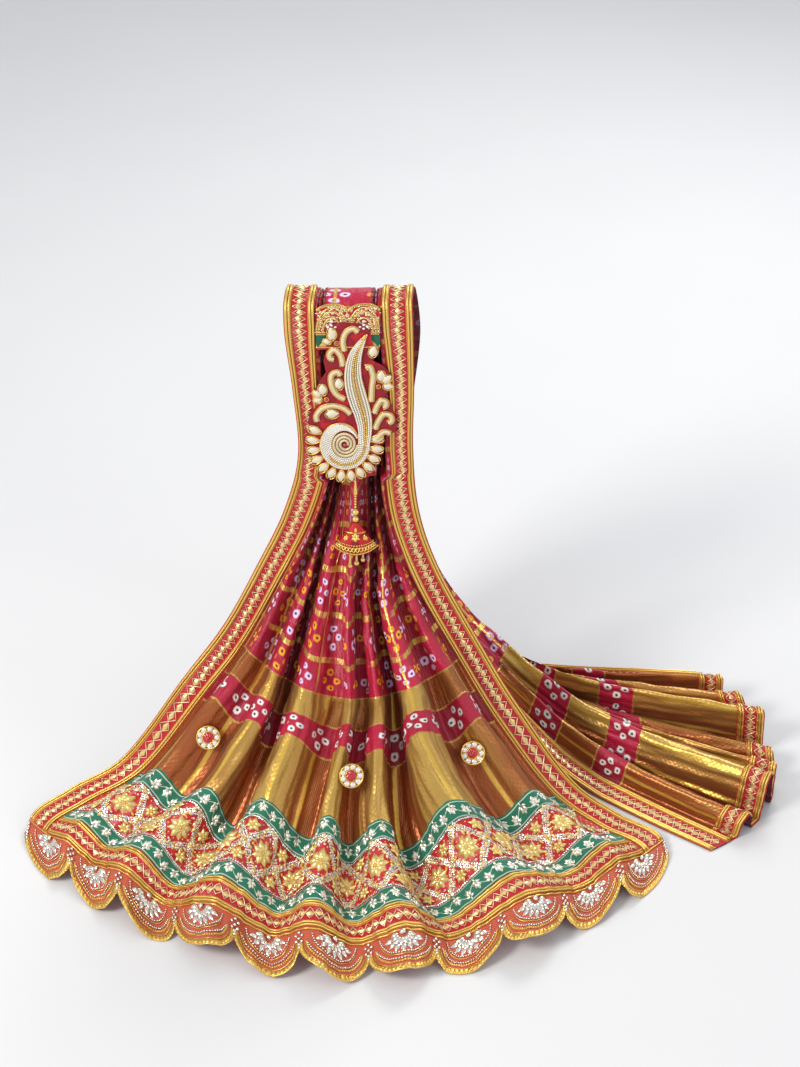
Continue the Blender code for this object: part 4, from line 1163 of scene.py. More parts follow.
# ------------------------------------------------------------------ pieces
@dataclass
class Cloth:
    """The silk sheet itself, one surface from hem to tail."""

    drape: Drape
    flat: Span = (1.06, 2.02)

    def build(self) -> Piece:
        """Make the sheet and dress it; its UV map holds metres across and along."""
        first = int(np.searchsorted(self.drape.t, -1e-9))
        t = self.drape.t[first:]
        s, v = np.meshgrid(self.drape.s, t)
        piece = make_piece("cloth_sheet", (self.drape.points[first:], grid_faces(len(t), len(self.drape.s))),
                           SILK, pairs(s, v))
        # The fold height, from which the silk and the tissue paint their shade in the valleys and their light
        # on the crests.
        carry(piece, "fold", self.drape.heights[first:])
        drawn = np.linalg.norm(np.gradient(self.drape.points[first:], self.drape.s, axis=1), axis=2)
        box = np.ones(13) / 13
        drawn = np.apply_along_axis(lambda row: np.convolve(np.pad(row, 6, "edge"), box, "valid"), 1, drawn)
        carry(piece, "gather", np.clip(drawn, 0.42, 1.0))
        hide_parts("cloth")
        return piece


@dataclass
class Strips:
    """Braids and ribbons sewn on the face, with their raised diamonds and leaf sprays."""

    drape: Drape
    lift: float = 0.0007
    crown: float = 0.0011
    pitch: float = 0.0108
    step: float = 0.0042
    tail_start: float = 2.160
    cross_rows: Span = (0.019, 2.180)
    sway: float = 0.0009
    thread_reach: float = 0.0080

    def strip(self, name: str, span: Span, run: Span, across: bool, finish: Finish, node: str) -> Piece:
        """One strip whose height is a low arch across its width, its rim turned down to the cloth.

        Args:
            name: the piece's name.
            span: from and to, across the cloth.
            run: from and to, along the cloth.
            across: True where the strip's own length runs across the cloth.
            finish: its material.
            node: the CAD node it stands for.

        Returns:
            The object; its UV map holds metres across and along the strip.
        """
        wide, long = (run, span) if across else (span, run)
        count = int((long[1] - long[0]) / self.step)
        share, run = np.meshgrid(np.linspace(0, 1, 11), np.linspace(*long, count))
        off = wide[0] + (wide[1] - wide[0]) * share
        rise = self.lift + self.crown * np.clip(np.sin(np.pi * share), 0, 0.5) * 2
        rise = np.where((share == 0) | (share == 1), 0.0001, rise)
        a, b = (run, off) if across else (off, run)
        faces = grid_faces(count, 11)[:, ::-1 if across else 1]
        piece = make_piece(name, (self.drape.place(a, b, rise), faces), finish, pairs(off - wide[0], run))
        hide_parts(node)
        return piece

    def build(self) -> list[Piece]:
        """Make every strip and its raised work."""
        inner = (BORDER, WIDTH - BORDER)
        foot, low, high, top = RIBBONS
        rows = (
            ("braid_left", (0.0, BORDER), (0.0, TAIL), False, BRAID, "border_left"),
            ("braid_right", (WIDTH - BORDER, WIDTH), (0.0, TAIL), False, BRAID, "border_right"),
            ("braid_hem", inner, (0.0, foot), True, BRAID, "border_hem"),
            ("braid_tail", inner, (self.tail_start, TAIL), True, BRAID, "border_tail"),
            ("velvet_lower", inner, (foot, low), True, VELVET, "ribbon_lower"),
            ("velvet_upper", inner, (high, top), True, VELVET, "ribbon_upper"),
            ("satin_band", inner, (low, high), True, BAND, "lattice_band"),
        )
        made = [self.strip(*row) for row in rows]
        return made + [self.diamonds(), self.zigzags(), self.plaits(), self.leaves()]

    def runs(self) -> list[tuple[bool, float, float, float]]:
        """Each braid: if it runs across the cloth, its middle, its start, and its first diamond past that."""
        return [*((False, low + BORDER / 2, 0.0, 0.006) for low in (0.0, WIDTH - BORDER)),
                *((True, middle, BORDER, 0.004) for middle in self.cross_rows)]

    @staticmethod
    def laid(across: bool, off: np.ndarray | float, run: np.ndarray) -> np.ndarray:
        """Places along a braid, so far off to its side."""
        return pairs(run, off) if across else pairs(off, run)

    def diamonds(self) -> Piece:
        """A row of foil diamonds down the middle of each braid, every second one a little to the side."""
        spots, turns = [], []
        for across, middle, start, lead in self.runs():
            run = np.arange(start + lead, (WIDTH - BORDER if across else TAIL) - 0.004, self.pitch)
            sway = np.where(np.arange(len(run)) % 2, self.sway, -self.sway)
            spots.append(self.laid(across, middle + sway, run))
            turns.append(np.full(len(run), np.pi / 2 * across))
        spots, turns = np.concatenate(spots), np.concatenate(turns)
        keep = spots[:, 1] < TAIL - 0.003
        row = (gem(), spots[keep], 0.0053, turns[keep], self.lift + self.crown)
        return strew("braid_diamonds", DIAMOND, self.drape, row, flat=True)

    def zigzags(self) -> Piece:
        """Two pale gold threads that cross between the diamonds of each braid.

        Each is a triangle wave round the braid's middle, 8 mm either way, and
        turns back at the side of every diamond.
        """
        parts = []
        for sign in (-1, 1):
            for across, middle, start, lead in self.runs():
                low, high = (BORDER + 0.001, WIDTH - BORDER - 0.001) if across else (0.0006, TAIL - 0.002)
                run = np.arange(low, high, self.pitch / 4)
                share = ((run - start - lead) / (2 * self.pitch) + 0.5) % 1.0
                wave = self.thread_reach * sign * (2 * np.abs(share * 2 - 1) - 1)
                parts.append(cord(self.drape, self.laid(across, middle + wave, run), 0.0007, 0.0017, 4))
        return sew("braid_zigzags", FINE_ZARI, *parts)

    def plaits(self) -> Piece:
        """Twisted gold cords, two on each gold edge of every braid, so that each edge looks plaited."""
        long = np.linspace(0.001, TAIL - 0.001, 560)
        wide = np.linspace(BORDER + 0.001, WIDTH - BORDER - 0.001, 250)
        rows = ((False, 0.0, long), (False, WIDTH - BORDER, long),
                (True, 0.0, wide), (True, TAIL - BORDER, wide))
        cords = [cord(self.drape, self.laid(across, low + offset, run), 0.0016, 0.001, 5, 0.0078)
                 for offset in (0.003, 0.0066, BORDER - 0.0066, BORDER - 0.003)
                 for across, low, run in rows]
        return sew("braid_plaits", PLAIT, *cords)

    def leaves(self) -> Piece:
        """Sprays of silver leaves on the two velvet ribbons, every second one turned over."""
        spots, turns, sizes = [], [], []
        gap = 0.0172
        centres = np.arange(BORDER + gap / 2, WIDTH - BORDER, gap)
        flip = np.where(np.arange(len(centres)) % 2, 1.0, -1.0)
        spray = ((90, 0.0098, 0.0), (55, 0.0085, -0.001), (125, 0.0085, -0.001),
                 (18, 0.0074, -0.003), (162, 0.0074, -0.003), (-90, 0.005, -0.003))
        for middle in (0.051, 0.148):
            for angle, size, shift in spray:
                spots.append(pairs(centres, middle + flip * (shift - 0.003)))
                turns.append(np.radians(angle) * flip)
                sizes.append(np.full(len(centres), size))
        spots, sizes, turns = (np.concatenate(rows) for rows in (spots, sizes, turns))
        row = (petal(1.0, 0.3, 0.22), spots, sizes, turns, self.lift + self.crown - 0.0001)
        return strew("silver_leaf_sprays", SILVER_LEAF, self.drape, row, weld=False)


@dataclass
class Lattice:
    """Crowded sequins along crossing lines on the red band, with a folded flower in each diamond."""

    drape: Drape
    low: float = 0.0655
    high: float = 0.1325
    gap: float = 0.0031
    cells: int = 17
    height: float = 0.0018

    def lines(self, pitch: float) -> tuple[np.ndarray, np.ndarray]:
        """Places along both sets of crossing lines, and the lines' directions."""
        deep = self.high - self.low
        count = int(math.hypot(pitch, deep) / self.gap)
        f = (np.arange(count) + 0.5) / count
        spots, ways = [], []
        for k in range(self.cells):
            start = BORDER + k * pitch
            for rise in (1, -1):
                v = self.low + f * deep if rise > 0 else self.high - f * deep
                spots.append(pairs(start + f * pitch, v))
                ways.append(np.full(count, math.atan2(rise * deep, pitch)))
        return np.concatenate(spots), np.concatenate(ways)

    def build(self) -> list[Piece]:
        """Make the sequins, the foil leaves, the flowers and the seeds."""
        random = np.random.default_rng(11)
        pitch = (WIDTH - 2 * BORDER) / self.cells
        spots, ways = self.lines(pitch)
        side = pairs(-np.sin(ways), np.cos(ways))
        rows = [spots + side * shift + random.normal(0, 0.0003, spots.shape)
                for shift in (-0.0029, 0.0, 0.0029)]
        edge = np.arange(BORDER + 0.002, WIDTH - BORDER, self.gap)
        rows += [pairs(edge, v) for v in (self.low, self.high)]
        sequins = np.concatenate(rows)
        sequins = sequins[(sequins[:, 0] > BORDER + 0.002) & (sequins[:, 0] < WIDTH - BORDER - 0.002)]
        sequin = turned([(0.0, 0.3), (0.55, 0.1), (1.0, 0.42), (1.0, 0.0)], 6)
        sizes = random.uniform(0.0012, 0.0018, len(sequins))
        made = [strew("sequin_lattice", SILVER, self.drape, (sequin, sequins, sizes, 0.0, self.height))]
        bits = spots[::2] + side[::2] * random.uniform(-0.003, 0.003, (len(spots[::2]), 1))
        lean = ways[::2] + random.choice((0.75, -0.75), len(bits))
        rows = [(petal(1.0, 0.26, 0.3), bits, 0.0078, lean, self.height + 0.0003)]
        middle = (self.low + self.high) / 2
        centres = BORDER + pitch * np.arange(1, self.cells)
        crossings = BORDER + pitch * (np.arange(self.cells) + 0.5)
        flowers = pairs(centres, middle)
        halves = np.concatenate([pairs(crossings, v) for v in (self.low + 0.012, self.high - 0.012)])
        leaf = petal(1.0, 0.31, 0.34)
        layers = ((flowers, 0.0168, 8, 0.0, 0.0), (flowers, 0.01, 8, 0.39, 0.001),
                  (halves, 0.01, 6, 0.5, 0.001))
        for spot, size, petals, turn, rise in layers:
            rows += [(leaf, spot, size, turn + 2 * math.pi * k / petals, self.height + rise)
                     for k in range(petals)]
        made.append(strew("folded_flowers", GOTA, self.drape, *rows, weld=False))
        hearts = np.concatenate([flowers, halves, pairs(crossings, middle)])
        rims = []
        for shift in (0, 1):
            angle = 2 * np.pi * (np.arange(0, 12, 2) + shift) / 12
            rims.append((flowers[:, None] + 0.0208 * ellipse(0, 0, 0.92, 1, angle)[None]).reshape(-1, 2))
        seed = bead(0.7, 6, 3)
        yellow = (seed, np.concatenate([hearts, rims[0]]), 0.0021, 0.0, self.height + 0.0003)
        return made + [strew("yellow_seeds", YELLOW_DOTS, self.drape, yellow),
                       strew("pink_seeds", PINK_DOTS, self.drape, (seed, rims[1], 0.0017, 0.0, self.height))]


@dataclass
class ScallopedLace:
    """Eleven scallops of net below the hem, rimmed with gold discs and filled with bead fans."""

    drape: Drape
    scallops: int = 11
    notch: float = 0.022
    top: float = -0.0004
    cluster: tuple = ((0, -0.006), (-0.0042, -0.0105), (0.0042, -0.0105), (0, -0.0145),
                      (-0.0036, -0.019), (0.0036, -0.019), (0, -0.023), (0, -0.0275))

    def outline(self, x: np.ndarray) -> np.ndarray:
        """Depth of a scallop's edge at x from -1 to 1: a half ellipse below the notches."""
        return -self.notch + (LACE_TIP + self.notch) * np.sqrt(np.clip(1 - x * x, 0, 1))

    def build(self) -> list[Piece]:
        """Make the net, its gold rim and its beads."""
        pitch = WIDTH / self.scallops
        half = pitch / 2
        middles = pitch * (np.arange(self.scallops) + 0.5)
        x = -np.cos(np.linspace(0, np.pi, 25))
        places = np.concatenate([m + half * x[:-1] for m in middles] + [[WIDTH]])
        depth = np.concatenate([self.outline(x[:-1])] * self.scallops + [[-self.notch]])
        f = np.linspace(0, 1, 12)[:, None]
        t = depth[None] * (1 - f) + self.top * f
        s = np.broadcast_to(places, t.shape)
        points = self.drape.place(s, t, 0.0)
        made = [make_piece("lace_net", (points, grid_faces(*t.shape)), NET, pairs(s, t))]
        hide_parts("scallop_lace")
        made += self.rims(middles, half) + self.fans(middles, half, pitch)
        return made

    def rims(self, middles: np.ndarray, half: float) -> list[Piece]:
        """Gold discs and cords round each scallop: half ellipses set in from its edge."""
        angle = arc(3, 177, 23)
        reach = LACE_TIP + self.notch
        rims, second = [], []
        fine = arc(6, 174, 34)
        for m in middles:
            rims.append(ellipse(m, -self.notch, -0.97 * half, 0.92 * reach, angle))
            second.append(ellipse(m, -self.notch * 0.75, -0.8 * half, 0.8 * reach, fine))
        disc = turned([(0.0, 0.34), (0.42, 0.26), (0.55, 0.1), (1.0, 0.34), (1.0, 0.0)], 9)
        made = [strew("lace_gold_discs", ZARI_FLAT, self.drape,
                      (disc, np.concatenate(rims), 0.0037, 0.0, 0.0006),
                      (disc, np.concatenate(second), 0.0015, 0.0, 0.0006))]
        parts = []
        for m in middles:
            parts.append(cord(self.drape, ellipse(m, -self.notch, -half, reach, angle), 0.0012, -0.0006,
                              twist=0.005))
            for share in (0.88, 0.62):
                inner = ellipse(m, -self.notch * share, -share * half, share * reach, fine)
                parts.append(cord(self.drape, inner, 0.0007, 0.0, 4))
        hem = pairs(np.linspace(0.001, WIDTH - 0.001, 500), -0.0015)
        parts.append(cord(self.drape, hem, 0.0012, 0.0, twist=0.004))
        made.append(sew("lace_gold_cord", ZARI_FLAT, *parts))
        return made

    def fans(self, middles: np.ndarray, half: float, pitch: float) -> list[Piece]:
        """Silver leaf fans, dotted arcs and clusters, measured round each scallop's upper middle."""
        beads, large, leaves, turns = [], [], [], []
        top = -0.005
        for m in middles:
            for number, ray in enumerate(arc(8, 172, 15)):
                way = np.array((-math.cos(ray), -math.sin(ray)))
                leaves.append((m, top) + way * (0.015 if number % 2 else 0.0055))
                turns.append(math.atan2(way[1], way[0]))
            for r, count in ((0.0295, 26), (0.0385, 34)):
                a = arc(7, 173, count)
                spot = ellipse(m, top, -1.05 * r, -r, a)
                x = (spot[:, 0] - m) / (0.76 * half)
                y = np.clip((spot[:, 1] + self.notch) / (0.76 * (LACE_TIP + self.notch)), 0, 9)
                beads.append(spot[x ** 2 + y ** 2 < 1])
        knots = pitch * np.arange(self.scallops + 1)
        for dx, dy in self.cluster:
            large.append(pairs(np.clip(knots + dx, 0.003, WIDTH - 0.003), dy))
        rows = ((bead(0.8, 6, 3), np.concatenate(beads), 0.0015, 0.0, 0.0004),
                (bead(0.7, 6, 4), np.concatenate(large), 0.0023, 0.0, 0.0004),
                (bead(0.6, 8, 4), pairs(middles, top), 0.004, 0.0, 0.0004),
                (petal(1.0, 0.3, 0.26), np.array(leaves), 0.0125, np.array(turns), 0.0005))
        return [strew("lace_silver_beads", SILVER, self.drape, *rows)]


@dataclass
class HeadBand:
    """The worked band across the top of the front: two beaded arches over red, and velvet points."""

    drape: Drape
    low: float = 0.862
    high: float = 0.938
    half: float = 0.0385
    arch: float = 0.0192
    tall: float = 2.25

    def crest(self, a: np.ndarray) -> np.ndarray:
        """Height of the band's upper edge: half an ellipse over each arch, and a dip between them."""
        return self.high - 0.015 * (1 - np.sqrt(np.clip(1 - ((np.abs(a) - self.arch) / 0.0196) ** 2, 0, 1)))

    def build(self) -> list[Piece]:
        """Make the band and its beads."""
        ground = TopBand(self.drape)
        a, b = np.meshgrid(np.linspace(-self.half, self.half, 49), np.linspace(0, 1, 17))
        b = self.low + b * (self.crest(a) - self.low)
        points = ground.place(a + 0.0005, b, 0.003)
        made = [make_piece("head_ground", (points, grid_faces(17, 49)), HEAD, pairs(a, b))]
        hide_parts("head_band")
        random = np.random.default_rng(5)
        arches, pearls = [], []
        for side in (-1, 1):
            for r in (0.0178, 0.0146, 0.01):
                arches.append(ellipse(side * self.arch, 0.8915, r, r * self.tall, arc(0, 180, int(r * 1900))))
            pearls += [(side * self.arch, 0.8965), (side * self.arch, 0.9025), (side * self.arch, 0.909),
                       (side * 0.0148, 0.8995), (side * 0.0236, 0.8995)]
        loose = pairs(random.uniform(-self.half + 0.002, self.half - 0.002, 260),
                      random.uniform(0.893, 0.936, 260))
        loose[:, 1] = 0.893 + (loose[:, 1] - 0.893) * (self.crest(loose[:, 0]) - 0.895) / (self.high - 0.895)
        row = np.linspace(-self.half, self.half, 36)
        base = [pairs(row, 0.8895), pairs(row, self.crest(row) - 0.003)]
        sequin = turned([(0.0, 0.3), (1.0, 0.4), (1.0, 0.0)], 6)
        rows = ((bead(0.7), np.concatenate(arches), 0.0013, 0.0, 0.0032),
                (sequin, loose, random.uniform(0.0013, 0.0023, 260), 0.0, 0.0032),
                (bead(0.7), np.concatenate(base), 0.0012, 0.0, 0.0032))
        made.append(strew("head_sequins", SEQUINS, ground, *rows))
        made.append(strew("head_pearls", PEARLS, ground, (bead(), pearls, 0.0024, 0.0, 0.003)))
        row = np.linspace(-self.half, self.half, 90)
        cords = [cord(ground, pairs(row, v), 0.0013, 0.003, twist=0.004)
                 for v in (0.8868, self.crest(row) - 0.0005, 0.8665)]
        turn = arc(0, 180, 44)
        rims = [ellipse(side * self.arch, 0.89, r, r * self.tall, turn)
                for side in (-1, 1) for r in (0.0188, 0.0162, 0.0112)]
        cords += [cord(ground, rim, 0.0009, 0.0032, 5, 0.004) for rim in rims]
        made.append(sew("head_gold_cord", ZARI, *cords))
        return made


@dataclass
class PaisleyPatch:
    """The raised paisley: a spiral round end with petals, a curved neck, scrolls, pearls and flowers."""

    middle: Triple = (-0.0768, 0.0698, 0.5243)
    disc: Span = (0.0300, 0.0350)
    petals: int = 13
    left_edge: tuple = (
        (0.0270, 0.1490), (0.0180, 0.1400), (0.0080, 0.1260), (0.0020, 0.1060), (0.0010, 0.0830),
        (0.0060, 0.0580), (0.0130, 0.0380), (0.0170, 0.0200), (0.0172, 0.0020))
    right_edge: tuple = (
        (0.0284, 0.1500), (0.0245, 0.1380), (0.0205, 0.1180), (0.0205, 0.0940), (0.0262, 0.0690),
        (0.0308, 0.0500), (0.0330, 0.0330), (0.0325, 0.0160), (0.0300, -0.0020))
    scrolls: tuple = (
        ((0.0005, 0.1260), (-0.0010, 0.1420), (0.0040, 0.1530), (0.0120, 0.1565), (0.0175, 0.1515)),
        ((-0.0013, 0.1060), (-0.0050, 0.1220), (-0.0115, 0.1285), (-0.0175, 0.1230), (-0.0160, 0.1165),
         (-0.0115, 0.1160)),
        ((0.0010, 0.0610), (-0.0095, 0.0680), (-0.0160, 0.0830), (-0.0145, 0.0955), (-0.0075, 0.0985),
         (-0.0045, 0.0930)),
        ((0.0080, 0.0410), (-0.0010, 0.0490), (-0.0160, 0.0525), (-0.0285, 0.0475), (-0.0350, 0.0370),
         (-0.0335, 0.0300)),
        ((0.0325, 0.0580), (0.0335, 0.0780), (0.0345, 0.0960), (0.0300, 0.1060), (0.0255, 0.1045)),
        ((0.0360, 0.0420), (0.0405, 0.0540), (0.0455, 0.0605), (0.0505, 0.0585), (0.0505, 0.0525),
         (0.0465, 0.0510)),
        ((0.0370, 0.0200), (0.0420, 0.0330), (0.0490, 0.0415), (0.0560, 0.0395), (0.0578, 0.0325),
         (0.0535, 0.0285)),
        ((0.0390, 0.0060), (0.0440, 0.0135), (0.0505, 0.0170), (0.0570, 0.0140)),
    )
    leaves: tuple = (
        (-0.0170, 0.1400, 70, 0.0125), (-0.0110, 0.1430, 115, 0.0125), (-0.0150, 0.1380, 170, 0.0090),
        (0.0440, 0.0850, 85, 0.0130), (0.0460, 0.0840, 40, 0.0120), (0.0465, 0.0800, -8, 0.0110),
        (-0.0260, 0.0660, 95, 0.0130), (-0.0280, 0.0650, 150, 0.0105), (-0.0270, 0.0620, 200, 0.0100),
        (-0.0060, 0.0740, 95, 0.0130), (-0.0240, 0.0400, 5, 0.0140), (0.0330, 0.1180, 75, 0.0130))
    mirrors: tuple = ((-0.0085, 0.1370), (0.0415, 0.0790), (-0.0220, 0.0610))

    def ground(self) -> Plate:
        """The plate's face."""
        return Plate(tuple(np.array(self.middle) + 0.0008 * np.array((-0.005, -0.998, 0.065))),
                     (1.0, -0.005, -0.005), (0.005, 0.065, 0.998), (-0.005, -0.998, 0.065))

    def oval(self, share: float, gap: float) -> np.ndarray:
        """Places about a gap apart along one row of the round end.

        An ellipse that is a share of the end; in its last part the share draws
        in towards the inner disc, so that the band of rows ends in a point.
        """
        angle = arc(-4, -338, max(3, int(5.83 * 0.0325 * share / gap)))
        late = np.clip((-np.degrees(angle) - 170) / 168, 0, 1)
        size = 0.56 + (share - 0.56) * (1 - 0.97 * late ** 1.3)
        return ellipse(0, 0, self.disc[0] * size, self.disc[1] * size, angle)

    def body(self) -> tuple[list[np.ndarray], list[np.ndarray], list[np.ndarray]]:
        """Rows of pearls down the neck and round the end: white rows, gold rows and the two outlines.

        A row is a blend of the neck's two edges, and goes on as an ellipse
        whose share of the round end is the same blend.
        """
        left, right = smooth_path(self.left_edge, 90), smooth_path(self.right_edge, 90)
        white, gold = [], []
        for number, f in enumerate(np.linspace(0.04, 0.96, 7)):
            row = left * (1 - f) + right * f
            share = 0.575 + 0.425 * f
            neck = along_path(row[6:], 0.0025)
            curl = self.oval(share, 0.0025)
            curl = curl[:int(len(curl) * (0.74 + 0.26 * (1 - f)))]
            if number in (3, 4):
                gold += [neck, curl[:len(curl) // 2]]
                white.append(curl[len(curl) // 2:])
            else:
                white += [neck, curl]
        rim = [np.concatenate([left, self.oval(0.54, 0.001)]),
               np.concatenate([right, self.oval(1.03, 0.001)])]
        return white, gold, rim

    def build(self) -> list[Piece]:
        """Dress the plate and lay all the raised work on it."""
        cover("patch_paisley", WORKED)
        ground = self.ground()
        white, gold_rows, rim = self.body()
        cords = [cord(ground, path, 0.001, 0.0004, 6, 0.004) for path in rim]
        turn = np.linspace(0, 1, 200)
        curl = (0.0158 - 0.0125 * turn)[:, None] * ellipse(0, 0, 1, 1.12, -2 * np.pi * 3.1 * turn)
        ribs = [cord(ground, curl, 0.0019, 0.0004, 6, 0.005)]
        angles = arc(-203, 8, self.petals)
        radial = ellipse(0, 0, 1, 1, angles)
        across = pairs(-radial[:, 1], radial[:, 0])
        centres = radial * (self.disc[0] + 0.01, self.disc[1] + 0.0115)
        turn = np.linspace(0, 2 * np.pi, 21)
        for centre, ray, side in zip(centres, radial, across):
            drop = (centre + 0.0088 * np.cos(turn)[:, None] * ray
                    + (0.0052 * np.sin(turn) * (1 + 0.35 * np.cos(turn)))[:, None] * side)
            cords.append(cord(ground, drop, 0.0009, 0.0004, 5, 0.003))
        for x, y, heading, long in self.leaves:
            heading = math.radians(heading)
            ray = np.array((math.cos(heading), math.sin(heading)))
            side = np.array((-ray[1], ray[0]))
            drop = ((x, y) + (0.62 + 0.63 * np.cos(turn))[:, None] * long * ray
                    + (0.46 * long * np.sin(turn))[:, None] * side)
            cords.append(cord(ground, drop, 0.0006, 0.0004, 5, 0.003))
        for knots in self.scrolls:
            path = smooth_path(knots, 150)
            ribs.append(cord(ground, path, 0.0027, 0.0004, 8, 0.0, 0.5, 0.0018))
            ahead = np.gradient(path, axis=0)
            side = unit(pairs(-ahead[:, 1], ahead[:, 0]), 1e-9)
            cords += [cord(ground, path + side * shift, 0.0007, 0.0004, 5, 0.003)
                      for shift in (-0.0033, 0.0033)]
        leaves, mirrors, ball = np.array(self.leaves), np.array(self.mirrors), bead(1.0, 8, 4)
        petals = ((petal(1.0, 0.36, 0.17), centres - radial * 0.0082, 0.0168, angles, 0.0004),
                  (petal(1.0, 0.34, 0.18), leaves[:, :2], leaves[:, 3] * 1.25, np.radians(leaves[:, 2]),
                   0.0004))
        stones = ((bead(0.7, 12, 5), (0, 0), 0.0026, 0.0, 0.003),
                  (bead(0.6, 10, 4), mirrors, 0.0019, 0.0, 0.001))
        return [
            sew("patch_gold_cords", ZARI, *cords),
            sew("patch_ribbed_scrolls", RIBBED, *ribs),
            strew("patch_white_pearls", PEARLS, ground, (ball, np.concatenate(white), 0.00128, 0.0, 0.0016)),
            strew("patch_gold_pearls", GOLD_PEARLS, ground,
                  (ball, np.concatenate(gold_rows), 0.00135, 0.0, 0.0018)),
            strew("patch_cream_petals", CREAM, ground, *petals, weld=False),
            self.padding(ground),
            strew("patch_red_stones", ROSES, ground, *stones),
            strew("patch_mirror_rims", ZARI, ground, (ring(1.0, 0.3, 14), mirrors, 0.0026, 0.0, 0.0004)),
        ]

    def padding(self, ground: Plate) -> Piece:
        """Cream padding under the pearls.

        The round end is a ring whose height is a half sine across; the neck is
        ruled between its two edges, with the same height.
        """
        shares = np.linspace(0.56, 1.01, 7)
        rows = [self.oval(share, 0.0025) for share in shares]
        rows = np.stack([row[np.linspace(0, len(row) - 1, 60).astype(int)] for row in rows])
        h = np.broadcast_to(0.0003 + 0.0015 * np.sin(np.pi * (shares - 0.56) / 0.451)[:, None] ** 0.5,
                            (7, 60))
        end = ground.place(rows[..., 0], rows[..., 1], h)
        left, right = smooth_path(self.left_edge, 50), smooth_path(self.right_edge, 50)
        f = np.linspace(0, 1, 7)[:, None, None]
        line = left[None] * (1 - f) + right[None] * f
        neck = ground.place(line[..., 0], line[..., 1], 0.0003 + 0.0015 * np.sin(np.pi * f[..., 0]) ** 0.5)
        return sew("patch_padding", CREAM, (end, grid_faces(7, 60)), (neck, grid_faces(7, 50)))


@dataclass
class BellFace(Ground):
    """The tassel's bell as a ground: a round it and b down it, both in metres from its front and top."""

    tassel: Tassel

    def place(self, a: np.ndarray, b: np.ndarray, h: np.ndarray) -> np.ndarray:
        """Points a to the side of the front, b down from the top and h out from the bell."""
        a, b, h = spread(a, b, h)
        angle, share = a / 0.015 - np.pi / 2, b / 0.038
        spot = self.tassel.rim(angle, share)
        out = unit(np.stack([0.45 * np.cos(angle), np.sin(angle), 0.35 + 0 * angle], -1))
        spot = spot + out * (h[..., None] + 0.0002)
        return self.tassel.axis_points(spot.reshape(-1, 3), self.tassel.bell_drop).reshape(spot.shape)


